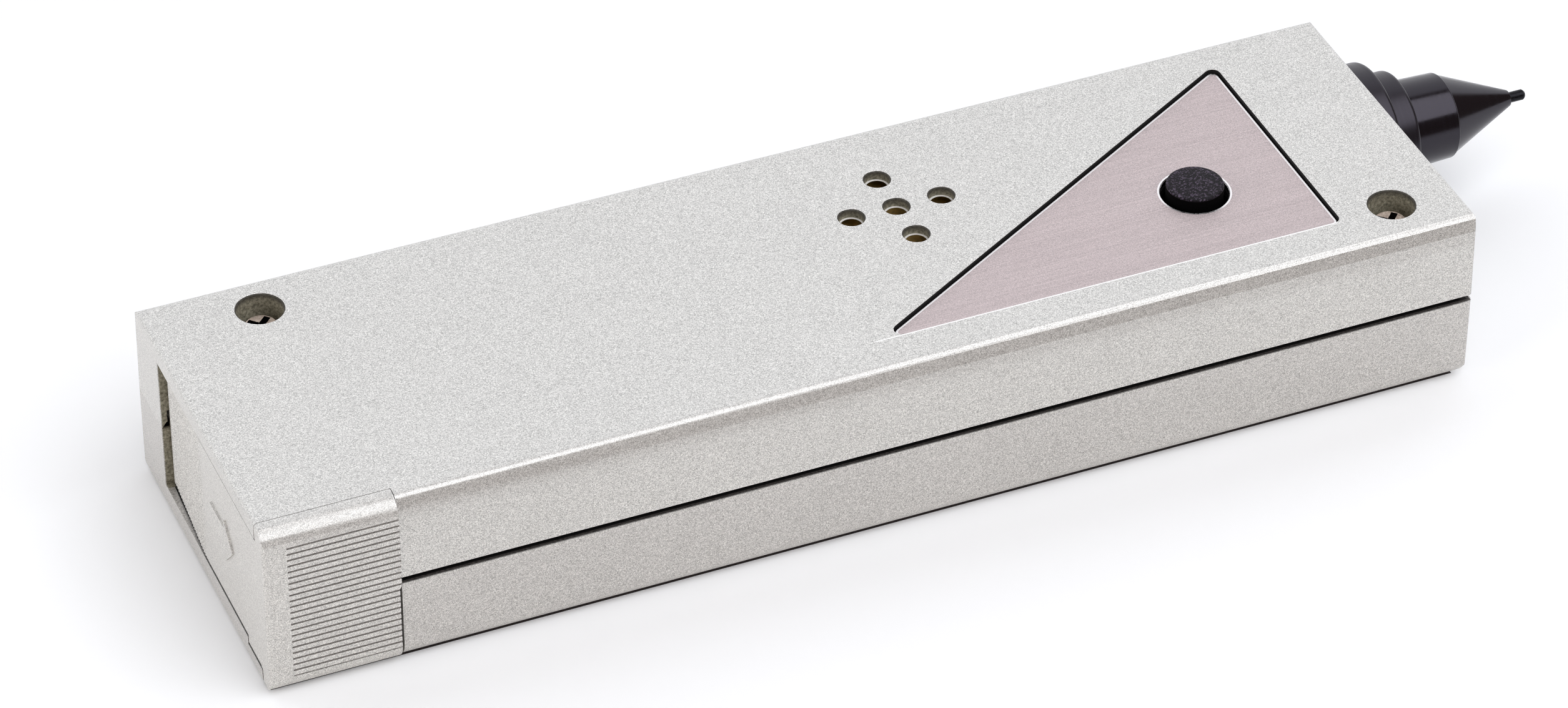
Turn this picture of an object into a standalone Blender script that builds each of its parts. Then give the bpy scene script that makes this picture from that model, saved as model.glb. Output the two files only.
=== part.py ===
"""Handheld diamond tester: a slim two-shell box with a sprung contact probe, built as separate pieces.

The part lies on its front face. X runs from the tail (battery door) to the head (probe), Y from the
near side to the far side, and Z from the front face up to the rear face, which carries the touch plate
and the button. The origin is the middle of the front face. All lengths are in metres.
"""

import math

import bmesh
import bpy
from mathutils import Matrix, Vector

# Clearances that the whole part shares
SEAT_GAP = 0.0003
OVERRUN = 0.001
WELD_DISTANCE = 0.000001

# Casing
BODY_LENGTH = 0.140
BODY_WIDTH = 0.042
WALL = 0.002
LONG_TOP_RADIUS = 0.0022
LONG_BOTTOM_RADIUS = 0.0024
END_TOP_RADIUS = 0.0005
TAIL_BOTTOM_RADIUS = 0.0008
HEAD_BOTTOM_RADIUS = 0.0026
UPRIGHT_RADIUS = 0.0006
INNER_RADIUS = 0.0005
FRONT_RIM_HEIGHT = 0.01065
SHADOW_GAP = 0.00085
LIP_SETBACK = 0.001
LIP_RISE = 0.0012

# Battery, and the bay that fits it
HEAD_BAY_LENGTH = 0.0912
BATTERY_SIDE_ROOM = 0.00295
BATTERY_THICKNESS = 0.0164
BATTERY_EDGE_RADIUS = 0.0022
BATTERY_CLEARANCE = 0.0004
BAY_RAIL_HEIGHT = 0.0007
BAY_RIB_THICKNESS = 0.0012
BAY_RIB_HEIGHT = 0.007
TERMINAL_HEIGHT = 0.0021
TERMINAL_SPACING = 0.0127
STUD_RADIUS = 0.0028
SOCKET_RADIUS = 0.0039
SOCKET_WALL = 0.0008
SNAP_THICKNESS = 0.0034
SNAP_MARGIN = 0.00075
SNAP_WIDTH = 0.0115
SNAP_CORNER_RADIUS = 0.002

# The stack of battery, rail and two walls sets the casing's height
BODY_HEIGHT = BATTERY_THICKNESS + BAY_RAIL_HEIGHT + 2 * WALL + 2 * SEAT_GAP

# Battery door
DOOR_WING_LENGTH = 0.0146
DOOR_WRAP = 0.00235
DOOR_PROUD = 0.00025
DOOR_TONGUE_THICKNESS = 0.0008
DOOR_TONGUE_REACH = 0.0006
TAIL_PIER_WIDTH = 0.0081
SILL_RISE = 0.001
SILL_SKIN = 0.0009
SILL_STEP_FROM_NEAR = 0.0068
GRIP_MARGIN = 0.0026
GRIP_PITCH = 0.00078
GRIP_DEPTH = 0.00028
GRIP_GROOVE_WIDTH = 0.0003
GRIP_COUNT = 23
THUMB_LENGTH = 0.0145
THUMB_DEPTH = 0.001
THUMB_RIB_DEPTH = 0.00014
THUMB_RIB_COUNT = 26
ARROW_LENGTH = 0.0071
ARROW_HEAD_LENGTH = 0.0025
ARROW_HEAD_WIDTH = 0.0055
ARROW_SHAFT_WIDTH = 0.0034
ARROW_RELIEF = 0.00022
ARROW_TIP_FROM_NEAR = 0.0098
ARROW_HEIGHT = 0.0119

# Case screws and the posts they clamp
SCREW_RECESS_RADIUS = 0.0026
RIM_CHAMFER = 0.00015
SCREW_HEAD_RADIUS = 0.0019
SCREW_HEAD_HEIGHT = 0.0014
SCREW_HEAD_DEPTH = 0.00225
SCREW_SHANK_RADIUS = 0.0011
SCREW_SHANK_LENGTH = 0.009
CROSS_WIDTH = 0.0006
CROSS_LENGTH = 0.0024
CROSS_DEPTH = 0.0008
POST_WALL = 0.0012
POST_WEB = 0.0015
TAIL_SCREW_FROM_TAIL = 0.0124
TAIL_SCREW_FROM_FAR = 0.0059
HEAD_SCREW_FROM_HEAD = 0.0076
HEAD_SCREW_FROM_NEAR = 0.0062

# Touch plate in its pocket
PLATE_FROM_HEAD = 0.01395
PLATE_FROM_NEAR = 0.0056
PLATE_FROM_FAR = 0.0047
POCKET_LENGTH = 0.0553
POCKET_DEPTH = 0.0012
POCKET_CORNER_RADIUS = 0.0009
PLATE_SIDE_GAP = 0.0003
PLATE_THICKNESS = 0.0005
CONTACT_PLACE_SHARES = (0.135, 0.648)
CONTACT_HOLE_RADIUS = 0.0024
CONTACT_COIL_RADIUS = 0.0016
CONTACT_WIRE_RADIUS = 0.0002
CONTACT_TURNS = 6

# Button, its spring and its switch
BUTTON_FROM_HEAD_LEG = 0.01225
BUTTON_FROM_NEAR_LEG = 0.0114
BUTTON_HOLE_RADIUS = 0.0038
CAP_RADIUS = 0.0032
CAP_STAND = 0.0008
CAP_EDGE = 0.00025
CAP_FLANGE_RADIUS = 0.0045
CAP_FLANGE_THICKNESS = 0.0008
CAP_STEM_RADIUS = 0.0017
GUIDE_WALL = 0.001
GUIDE_DEPTH = 0.0015
SWITCH_SIZE = 0.006
SWITCH_HEIGHT = 0.0035
SWITCH_BORE_DEPTH = 0.0017
PLUNGER_RADIUS = 0.0017
PLUNGER_LENGTH = 0.002
PLUNGER_STAND = 0.0013
BUTTON_COIL_RADIUS = 0.00255
BUTTON_WIRE_RADIUS = 0.00017
BUTTON_TURNS = 3

# Sounder under its holes
SOUNDER_FROM_HEAD = 0.0576
SOUNDER_FROM_MIDDLE = 0.0057
SOUND_HOLE_RADIUS = 0.00145
SOUND_HOLE_PITCH = 0.00535
SOUND_HOLE_PATTERN_SHARES = ((0, 0), (1, 0), (-1, 0), (0, 1), (0, -1))
SOUNDER_RADIUS = 0.010
SOUNDER_THICKNESS = 0.0004
CERAMIC_RADIUS = 0.007
SOUNDER_RING_HEIGHT = 0.0009
SOUNDER_RING_WALL = 0.0013
GRILLE_THICKNESS = 0.0011

# Circuit board
BOARD_LIFT = 0.0082
BOARD_THICKNESS = 0.0016
BOARD_SIDE_GAP = 0.0005
BOARD_FROM_DIVIDER = 0.0008
BOARD_FROM_PROBE = 0.006
STANDOFF_RADIUS = 0.0025
STANDOFF_INSET = 0.0031
BOARD_SCREW_RADIUS = 0.001
BOARD_SCREW_HEAD_RADIUS = 0.002
BOARD_SCREW_HEAD_HEIGHT = 0.0012
BOARD_SCREW_LENGTH = 0.005
CHIP_SIZE = (0.0196, 0.0064, 0.0033)
CHIP_PLACE_SHARES = (0.22, -0.26)
CHIP_LEG_WIDTH = 0.0005
CHIP_LEG_COUNT = 8
CHIP_LEG_SPREAD = 0.0008
CAPACITOR_RADIUS = 0.0025
CAPACITOR_HEIGHT = 0.0052
CAPACITOR_EDGE = 0.0003
CAPACITOR_PLACE_SHARES = ((0.50, -0.34), (0.60, -0.34), (0.70, -0.34))

# Lamps and the windows that they shine through
SCALE_FROM_HEAD = 0.020
SCALE_LENGTH = 0.044
SCALE_WIDTH = 0.0044
WINDOW_CORNER = 0.0008
WINDOW_RECESS = 0.0002
WINDOW_FLANGE = 0.0009
WINDOW_FLANGE_THICKNESS = 0.0008
RESULT_WINDOW_RADIUS = 0.0028
RESULT_FROM_MIDDLE = 0.0105
DIAMOND_FROM_HEAD = 0.030
MOISSANITE_FROM_HEAD = 0.046
SCALE_LAMP_COUNT = 10
LAMP_RADIUS = 0.0014
LAMP_COLLAR_RADIUS = 0.0017
LAMP_COLLAR_HEIGHT = 0.0006
LAMP_HEIGHT = 0.0045
LAMP_LEG_WIDTH = 0.0005
LAMP_LEG_SPACING = 0.00127

# Sensitivity thumbwheel and its potentiometer
DIAL_FROM_HEAD = 0.050
DIAL_RADIUS = 0.0075
DIAL_THICKNESS = 0.0023
DIAL_PROUD = 0.0007
DIAL_TOOTH_DEPTH = 0.0003
DIAL_TOOTH_COUNT = 36
DIAL_SLOT_GAP = 0.0004
DIAL_SHAFT_RADIUS = 0.0015
DIAL_PIVOT_RADIUS = 0.0022
DIAL_PIVOT_HEIGHT = 0.0009
POT_LENGTH = 0.011
POT_WIDTH = 0.0088
POT_HEIGHT = 0.0028

# Probe, measured from the head face
PROBE_FROM_FAR = 0.0103
COLLAR_RING_RADIUS = 0.0083
COLLAR_RING_LENGTH = 0.0035
COLLAR_STEP_RADIUS = 0.0066
COLLAR_STEP_LENGTH = 0.0031
COLLAR_EDGE = 0.0004
COLLAR_FLANGE_RADIUS = 0.0074
COLLAR_FLANGE_THICKNESS = 0.002
COLLAR_WALL = 0.0016
SLEEVE_ROOT_RADIUS = 0.0052
SLEEVE_FRONT_RADIUS = 0.005
SLEEVE_LENGTH = 0.0057
SLEEVE_EDGE = 0.0002
SLEEVE_TAIL = 0.0082
SLEEVE_WALL = 0.0015
NOSE_BASE_RADIUS = 0.00482
NOSE_TIP_RADIUS = 0.00095
NOSE_LENGTH = 0.0087
NOSE_SPIGOT_LENGTH = 0.0028
PIN_RADIUS = 0.00062
PIN_STAND = 0.0021
PIN_EDGE = 0.0001
PIN_CLEARANCE = 0.0001
PIN_SHOULDER_RADIUS = 0.0019
PIN_SHOULDER_LENGTH = 0.0013
PIN_ROD_RADIUS = 0.0008
PIN_ROD_LENGTH = 0.006
PROBE_COIL_LENGTH = 0.009
PROBE_WIRE_RADIUS = 0.00018
PROBE_TURNS = 8
PLUG_HEAD_THICKNESS = 0.0012
SADDLE_THICKNESS = 0.0015
SADDLE_FROM_FLANGE = 0.0012

# Leads
BATTERY_LEAD_RADIUS = 0.0006
PROBE_LEAD_RADIUS = 0.0004
LEAD_BEND = 0.002
LEAD_SAG = 0.0009

# Facets on round shapes
ARC_STEPS = 5
ROUND_SIDES = 28
HOLE_SIDES = 20
SMALL_SIDES = 16
COIL_POINTS = 8
ROUTE_STEPS = 4
SMOOTH_ANGLE = math.radians(40)

# Places that follow from the sizes above
TAIL_X = -BODY_LENGTH / 2
HEAD_X = BODY_LENGTH / 2
NEAR_Y = -BODY_WIDTH / 2
FAR_Y = BODY_WIDTH / 2
ROOF_Z = BODY_HEIGHT - WALL
REAR_RIM_Z = FRONT_RIM_HEIGHT + SHADOW_GAP
LIP_TOP_Z = REAR_RIM_Z + LIP_RISE
REBATE_Z = LIP_TOP_Z + SEAT_GAP
BAY_FAR_Y = FAR_Y - TAIL_PIER_WIDTH
BATTERY_LENGTH = BODY_LENGTH - WALL - BATTERY_CLEARANCE - HEAD_BAY_LENGTH
BATTERY_WIDTH = BODY_WIDTH - WALL - TAIL_PIER_WIDTH - 2 * BATTERY_SIDE_ROOM
BATTERY_Y = (NEAR_Y + WALL + BAY_FAR_Y) / 2
BATTERY_TAIL_X = TAIL_X + WALL + BATTERY_CLEARANCE
BATTERY_HEAD_X = BATTERY_TAIL_X + BATTERY_LENGTH
BATTERY_Z = WALL + BAY_RAIL_HEIGHT + SEAT_GAP
BATTERY_MID_Z = BATTERY_Z + BATTERY_THICKNESS / 2
SNAP_TAIL_X = BATTERY_HEAD_X + TERMINAL_HEIGHT + SEAT_GAP
SNAP_HEAD_X = SNAP_TAIL_X + SNAP_THICKNESS
DIVIDER_X = SNAP_HEAD_X + SEAT_GAP
WING_X = TAIL_X + DOOR_WING_LENGTH
WRAP_Y = NEAR_Y + DOOR_WRAP
SILL_Z = WALL + SILL_RISE
SILL_STEP_Y = NEAR_Y + SILL_STEP_FROM_NEAR
BOARD_Z = WALL + BOARD_LIFT + SEAT_GAP
BOARD_TOP_Z = BOARD_Z + BOARD_THICKNESS
BOARD_TAIL_X = DIVIDER_X + BAY_RIB_THICKNESS + BOARD_FROM_DIVIDER
PROBE_Y = FAR_Y - PROBE_FROM_FAR
PROBE_Z = (FRONT_RIM_HEIGHT + REAR_RIM_Z) / 2
PROBE_BACK = SLEEVE_TAIL + SEAT_GAP + PLUG_HEAD_THICKNESS
BOARD_HEAD_X = HEAD_X - PROBE_BACK - BOARD_FROM_PROBE
BOARD_HALF_WIDTH = BODY_WIDTH / 2 - WALL - BOARD_SIDE_GAP
BOARD_LENGTH = BOARD_HEAD_X - BOARD_TAIL_X
POCKET_HEAD_X = HEAD_X - PLATE_FROM_HEAD
POCKET_NEAR_Y = NEAR_Y + PLATE_FROM_NEAR
POCKET_WIDTH = BODY_WIDTH - PLATE_FROM_NEAR - PLATE_FROM_FAR
POCKET_Z = BODY_HEIGHT - POCKET_DEPTH
PLATE_Z = POCKET_Z + SEAT_GAP
BUTTON_X = POCKET_HEAD_X - BUTTON_FROM_HEAD_LEG
BUTTON_Y = POCKET_NEAR_Y + BUTTON_FROM_NEAR_LEG
CONTACT_X = POCKET_HEAD_X - CONTACT_PLACE_SHARES[0] * POCKET_LENGTH
CONTACT_Y = POCKET_NEAR_Y + CONTACT_PLACE_SHARES[1] * POCKET_WIDTH
SOUNDER_X = HEAD_X - SOUNDER_FROM_HEAD
DIAL_X = HEAD_X - DIAL_FROM_HEAD
DIAL_Y = FAR_Y + DIAL_PROUD - DIAL_RADIUS
POT_Z = BOARD_Z - SEAT_GAP - POT_HEIGHT
DIAL_TOP_Z = POT_Z - SEAT_GAP
DIAL_Z = DIAL_TOP_Z - DIAL_THICKNESS
SLEEVE_BORE_RADIUS = PIN_SHOULDER_RADIUS + SEAT_GAP
SLEEVE_TAIL_RADIUS = SLEEVE_BORE_RADIUS + SLEEVE_WALL
COLLAR_BORE_RADIUS = SLEEVE_TAIL_RADIUS + SEAT_GAP
COLLAR_NECK_RADIUS = COLLAR_BORE_RADIUS + COLLAR_WALL
HEAD_HOLE_RADIUS = COLLAR_NECK_RADIUS + SEAT_GAP
COLLAR_FRONT = SEAT_GAP + COLLAR_RING_LENGTH + COLLAR_STEP_LENGTH
COLLAR_BACK = WALL + SEAT_GAP + COLLAR_FLANGE_THICKNESS
SLEEVE_FRONT = COLLAR_FRONT + SLEEVE_LENGTH
NOSE_FRONT = SLEEVE_FRONT + NOSE_LENGTH
SPIGOT_BACK = SLEEVE_FRONT - NOSE_SPIGOT_LENGTH
SHOULDER_FRONT = SPIGOT_BACK - SEAT_GAP
SHOULDER_BACK = SHOULDER_FRONT - PIN_SHOULDER_LENGTH
COIL_FRONT = SHOULDER_BACK - SEAT_GAP
COIL_BACK = COIL_FRONT - PROBE_COIL_LENGTH
PLUG_FRONT = COIL_BACK - SEAT_GAP
SADDLE_HEAD_X = HEAD_X - COLLAR_BACK - SADDLE_FROM_FLANGE
SADDLE_BORE_BACK = COLLAR_BACK + SADDLE_FROM_FLANGE + SADDLE_THICKNESS + OVERRUN
POST_RADIUS = SCREW_RECESS_RADIUS + POST_WALL
POST_HOLLOW_RADIUS = SCREW_RECESS_RADIUS + SEAT_GAP
SCREW_HEAD_TOP_Z = BODY_HEIGHT - SCREW_HEAD_DEPTH
SCREW_HEAD_Z = SCREW_HEAD_TOP_Z - SCREW_HEAD_HEIGHT
SCREW_SEAT_Z = SCREW_HEAD_Z - SEAT_GAP
BOSS_TOP_Z = SCREW_SEAT_Z - POST_WEB - SEAT_GAP
SCREW_PLACES = (
    (TAIL_X + TAIL_SCREW_FROM_TAIL, FAR_Y - TAIL_SCREW_FROM_FAR),
    (HEAD_X - HEAD_SCREW_FROM_HEAD, NEAR_Y + HEAD_SCREW_FROM_NEAR),
)
STANDOFF_PLACES = [
    (x, side * (BOARD_HALF_WIDTH - STANDOFF_INSET))
    for x in (BOARD_TAIL_X + STANDOFF_INSET, BOARD_HEAD_X - STANDOFF_INSET)
    for side in (-1, 1)
]
SCALE_HEAD_X = HEAD_X - SCALE_FROM_HEAD
SCALE_TAIL_X = SCALE_HEAD_X - SCALE_LENGTH
DIAMOND_X = HEAD_X - DIAMOND_FROM_HEAD
MOISSANITE_X = HEAD_X - MOISSANITE_FROM_HEAD

# Turns that lay an outline or a turned piece along another axis
UPRIGHT = Matrix.Identity(4)
ALONG_X = Matrix.Rotation(math.pi / 2, 4, "Y")
SECTION_YZ = Matrix(((0, 0, 1, 0), (1, 0, 0, 0), (0, 1, 0, 0), (0, 0, 0, 1)))
SECTION_XZ = Matrix(((1, 0, 0, 0), (0, 0, -1, 0), (0, 1, 0, 0), (0, 0, 0, 1)))

# Colour, roughness and metallic value of each material
FINISHES = {
    "silver_paint": ((0.62, 0.62, 0.60), 0.42, 0.35),
    "brushed_aluminium": ((0.62, 0.58, 0.57), 0.34, 0.9),
    "black_plastic": ((0.012, 0.012, 0.014), 0.3, 0.0),
    "brass": ((0.66, 0.47, 0.22), 0.3, 1.0),
    "steel": ((0.55, 0.55, 0.56), 0.3, 1.0),
    "board_green": ((0.03, 0.17, 0.07), 0.5, 0.0),
    "ceramic_white": ((0.75, 0.74, 0.70), 0.5, 0.0),
    "battery_wrap": ((0.10, 0.11, 0.13), 0.4, 0.0),
    "clear_window": ((0.35, 0.05, 0.05), 0.2, 0.0),
    "red_insulation": ((0.55, 0.03, 0.02), 0.45, 0.0),
}


def clear_scene():
    """Remove what the opened file holds."""
    for old in list(bpy.data.objects):
        bpy.data.objects.remove(old, do_unlink=True)


def make_collection(name):
    """A collection under the scene's own."""
    collection = bpy.data.collections.new(name)
    bpy.context.scene.collection.children.link(collection)
    return collection


def make_material(name):
    """A Principled material from the table of finishes."""
    colour, roughness, metallic = FINISHES[name]
    material = bpy.data.materials.new(name)
    material.use_nodes = True
    shader = material.node_tree.nodes["Principled BSDF"]
    shader.inputs["Base Color"].default_value = (*colour, 1)
    shader.inputs["Roughness"].default_value = roughness
    shader.inputs["Metallic"].default_value = metallic
    return material


def new_object(name, mesh):
    """An object in the collection of construction solids, until it is published."""
    thing = bpy.data.objects.new(name, mesh)
    CUTTERS.objects.link(thing)
    thing.hide_render = True
    thing.display_type = "WIRE"
    return thing


def publish(thing, name, material):
    """Name a finished sub-part, give it its material and move it to the part's collection."""
    CUTTERS.objects.unlink(thing)
    PART.objects.link(thing)
    thing.name = name
    thing.hide_render = False
    thing.display_type = "TEXTURED"
    thing.data.materials.append(MATERIALS[material])
    return thing


def box(name, low, high):
    """A block between two corners."""
    low, high = Vector(low), Vector(high)
    mesh = bpy.data.meshes.new(name)
    work = bmesh.new()
    bmesh.ops.create_cube(work, size=1)
    bmesh.ops.scale(work, vec=high - low, verts=work.verts)
    work.to_mesh(mesh)
    work.free()
    block = new_object(name, mesh)
    block.location = (low + high) / 2
    return block


def cylinder(name, radius, place, low, high, sides=SMALL_SIDES):
    """An upright round bar at a place in XY."""
    mesh = bpy.data.meshes.new(name)
    work = bmesh.new()
    bmesh.ops.create_cone(
        work, cap_ends=True, segments=sides, radius1=radius, radius2=radius, depth=high - low
    )
    work.to_mesh(mesh)
    work.free()
    mesh.shade_smooth()
    mesh.set_sharp_from_angle(angle=SMOOTH_ANGLE)
    bar = new_object(name, mesh)
    bar.location = (*place, (low + high) / 2)
    return bar


def turned(name, profile, centre, turn=UPRIGHT, sides=ROUND_SIDES):
    """A turned piece: the profile gives radius and height, down the outer side and round to its start."""
    mesh = bpy.data.meshes.new(name)
    points = [(radius, 0, height) for radius, height in profile]
    edges = [(i, i + 1) for i in range(len(points) - 1)]
    if profile[0][0] > 0 or profile[-1][0] > 0:
        edges.append((len(points) - 1, 0))
    mesh.from_pydata(points, edges, [])
    piece = new_object(name, mesh)
    piece.matrix_world = Matrix.Translation(centre) @ turn
    screw = piece.modifiers.new("turn", "SCREW")
    screw.steps = sides
    screw.render_steps = sides
    screw.use_merge_vertices = True
    screw.merge_threshold = WELD_DISTANCE
    screw.use_smooth_shade = False
    return piece


def evaluated_mesh(thing):
    """The mesh that a thing's curve data and modifiers make."""
    bpy.context.view_layer.update()
    graph = bpy.context.evaluated_depsgraph_get()
    return bpy.data.meshes.new_from_object(thing.evaluated_get(graph))


def outline_solid(name, outlines, low, high, turn=UPRIGHT):
    """Flat outlines in XY, the first around the others as holes, made thick from low to high."""
    curve = bpy.data.curves.new(name, "CURVE")
    curve.dimensions = "2D"
    curve.fill_mode = "BOTH"
    curve.extrude = (high - low) / 2
    for points in outlines:
        spline = curve.splines.new("POLY")
        spline.points.add(len(points) - 1)
        for point, (x, y) in zip(spline.points, points):
            point.co = (x, y, 0, 1)
        spline.use_cyclic_u = True
    guide = new_object(name, curve)
    mesh = evaluated_mesh(guide)
    work = bmesh.new()
    work.from_mesh(mesh)
    bmesh.ops.remove_doubles(work, verts=work.verts, dist=WELD_DISTANCE)
    bmesh.ops.recalc_face_normals(work, faces=work.faces)
    work.to_mesh(mesh)
    work.free()
    bpy.data.objects.remove(guide)
    solid = new_object(name, mesh)
    solid.matrix_world = turn @ Matrix.Translation((0, 0, (low + high) / 2))
    return solid


def combine(target, other, operation):
    """Put a Boolean of another solid on the target; the other stays as a hidden guide."""
    boolean = target.modifiers.new(operation.lower(), "BOOLEAN")
    boolean.operation = operation
    boolean.solver = "EXACT"
    boolean.object = other


def cut(target, *cutters):
    for cutter in cutters:
        combine(target, cutter, "DIFFERENCE")
    return target


def join(target, *others):
    for other in others:
        combine(target, other, "UNION")
    return target


def keep_within(target, *others):
    for other in others:
        combine(target, other, "INTERSECT")
    return target


def copies(thing, names, offsets, material):
    """Objects that share one finished solid's mesh, each at its own offset."""
    mesh = evaluated_mesh(thing)
    mesh.transform(thing.matrix_world)
    for name, offset in zip(names, offsets):
        copy = new_object(name, mesh)
        copy.location = offset
        publish(copy, name, material)


def numbered(name, count):
    return [f"{name}_{i + 1}" for i in range(count)]


def repeated_cutter(name, thing, offsets):
    """Copies of one cutter at several offsets, as a single cutter."""
    mesh = evaluated_mesh(thing)
    work = bmesh.new()
    for offset in offsets:
        copy = mesh.copy()
        copy.transform(Matrix.Translation(offset) @ thing.matrix_world)
        work.from_mesh(copy)
        bpy.data.meshes.remove(copy)
    merged = bpy.data.meshes.new(name)
    work.to_mesh(merged)
    work.free()
    return new_object(name, merged)


def arc(centre, radius, start, end, steps=ARC_STEPS):
    """Points along an arc, angles in degrees."""
    angles = [math.radians(start + (end - start) * i / steps) for i in range(steps + 1)]
    return [(centre[0] + radius * math.cos(a), centre[1] + radius * math.sin(a)) for a in angles]


def rounded_outline(low, high, low_radius, high_radius):
    """A rectangle whose two lower corners have one radius and whose two upper corners another."""
    (x0, y0), (x1, y1) = low, high
    points = arc((x1 - low_radius, y0 + low_radius), low_radius, -90, 0)
    points += arc((x1 - high_radius, y1 - high_radius), high_radius, 0, 90)
    points += arc((x0 + high_radius, y1 - high_radius), high_radius, 90, 180)
    points += arc((x0 + low_radius, y0 + low_radius), low_radius, 180, 270)
    return points


def circle(centre, radius, sides=ROUND_SIDES):
    return arc(centre, radius, 0, 360, sides)[:-1]


def helix(name, sizes, centre, turn=UPRIGHT):
    """An open steel coil spring; its sizes are its radius, wire radius, whole length and turns."""
    radius, wire, length, turns = sizes
    curve = bpy.data.curves.new(name, "CURVE")
    curve.dimensions = "3D"
    curve.bevel_depth = wire
    curve.bevel_resolution = 1
    curve.use_fill_caps = True
    spline = curve.splines.new("POLY")
    count = turns * COIL_POINTS
    spline.points.add(count)
    rise = length - 2 * wire
    for i, point in enumerate(spline.points):
        angle = 2 * math.pi * i / COIL_POINTS
        height = wire + rise * i / count
        point.co = (radius * math.cos(angle), radius * math.sin(angle), height, 1)
    coil = new_object(name, curve)
    coil.matrix_world = Matrix.Translation(centre) @ turn
    return publish(coil, name, "steel")


def smooth_route(points):
    """A smooth cubic curve through a lead's points."""
    path = [Vector(p) for p in points]
    path = [path[0] * 2 - path[1]] + path + [path[-1] * 2 - path[-2]]
    route = []
    for a, b, c, d in zip(path, path[1:], path[2:], path[3:]):
        square = a * 2 - b * 5 + c * 4 - d
        cube = b * 3 - a - c * 3 + d
        for i in range(ROUTE_STEPS):
            t = i / ROUTE_STEPS
            route.append((b * 2 + (c - a) * t + square * t ** 2 + cube * t ** 3) / 2)
    route.append(path[-2])
    return route


def lead(name, route, radius, material):
    """An insulated lead along a smooth route."""
    curve = bpy.data.curves.new(name, "CURVE")
    curve.dimensions = "3D"
    curve.bevel_depth = radius
    curve.bevel_resolution = 2
    curve.use_fill_caps = True
    points = smooth_route(route)
    spline = curve.splines.new("POLY")
    spline.points.add(len(points) - 1)
    for point, place in zip(spline.points, points):
        point.co = (*place, 1)
    return publish(new_object(name, curve), name, material)


def section_prism(name, inset, tail_x, head_x):
    """The casing's cross-section, drawn in by an inset, run from one X to another."""
    low_radius = max(LONG_BOTTOM_RADIUS - inset, INNER_RADIUS)
    high_radius = max(LONG_TOP_RADIUS - inset, INNER_RADIUS)
    low = (NEAR_Y + inset, inset)
    high = (FAR_Y - inset, BODY_HEIGHT - inset)
    section = rounded_outline(low, high, low_radius, high_radius)
    return outline_solid(name, [section], tail_x, head_x, SECTION_YZ)


def side_outline():
    """The casing seen from the side: its two ends have lower corners of their own."""
    high_z = BODY_HEIGHT - END_TOP_RADIUS
    points = arc((HEAD_X - HEAD_BOTTOM_RADIUS, HEAD_BOTTOM_RADIUS), HEAD_BOTTOM_RADIUS, -90, 0)
    points += arc((HEAD_X - END_TOP_RADIUS, high_z), END_TOP_RADIUS, 0, 90)
    points += arc((TAIL_X + END_TOP_RADIUS, high_z), END_TOP_RADIUS, 90, 180)
    points += arc((TAIL_X + TAIL_BOTTOM_RADIUS, TAIL_BOTTOM_RADIUS), TAIL_BOTTOM_RADIUS, 180, 270)
    return points


def casing_block(name, proud=0.0):
    """The casing's whole outer form; the near side may stand proud, as the door does."""
    low = (NEAR_Y - proud, 0)
    section = rounded_outline(low, (FAR_Y, BODY_HEIGHT), LONG_BOTTOM_RADIUS, LONG_TOP_RADIUS)
    block = outline_solid(name, [section], TAIL_X, HEAD_X, SECTION_YZ)
    ends = outline_solid(name + "_ends", [side_outline()], -FAR_Y - OVERRUN, FAR_Y + OVERRUN, SECTION_XZ)
    plan = rounded_outline((TAIL_X, NEAR_Y - proud), (HEAD_X, FAR_Y), UPRIGHT_RADIUS, UPRIGHT_RADIUS)
    corners = outline_solid(name + "_corners", [plan], -OVERRUN, BODY_HEIGHT + OVERRUN)
    return keep_within(block, ends, corners)


def slab(name, low_z, high_z):
    """A slice of space over the whole plan of the casing."""
    low = (TAIL_X - OVERRUN, NEAR_Y - OVERRUN, low_z)
    high = (HEAD_X + OVERRUN, FAR_Y + OVERRUN, high_z)
    return box(name, low, high)


def door_way(name, low_z, high_z):
    """The space at the tail end that the door closes, between two heights."""
    low = (TAIL_X - OVERRUN, NEAR_Y - OVERRUN, low_z)
    return box(name, low, (TAIL_X + WALL + SEAT_GAP, BAY_FAR_Y, high_z))


def wing_way(name):
    """The space at the near corner that the door's wing fills."""
    low = (TAIL_X - OVERRUN, NEAR_Y - OVERRUN, -OVERRUN)
    return box(name, low, (WING_X + SEAT_GAP, WRAP_Y, BODY_HEIGHT + OVERRUN))


def pocket_outline(inset):
    """The touch plate's right-angled triangle with rounded corners, drawn in by an inset."""
    radius = POCKET_CORNER_RADIUS - inset
    corners = (
        (POCKET_HEAD_X, POCKET_NEAR_Y),
        (POCKET_HEAD_X, POCKET_NEAR_Y + POCKET_WIDTH),
        (POCKET_HEAD_X - POCKET_LENGTH, POCKET_NEAR_Y),
    )
    return inset_polygon(corners, inset, radius)


def inset_polygon(corners, inset, radius):
    """A polygon that runs counterclockwise, drawn in by an inset, with arcs at its corners."""
    points = []
    count = len(corners)
    for i in range(count):
        before = Vector(corners[i - 1])
        here = Vector(corners[i])
        after = Vector(corners[(i + 1) % count])
        arrive = (here - before).normalized()
        leave = (after - here).normalized()
        turn = arrive.angle(leave)
        inward = (leave - arrive).normalized()
        centre = here + inward * ((inset + radius) / math.cos(turn / 2))
        first = math.degrees(math.atan2(-arrive.x, arrive.y))
        sweep = math.degrees(turn)
        points += arc(centre, radius, first, first + sweep)
    return points


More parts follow.
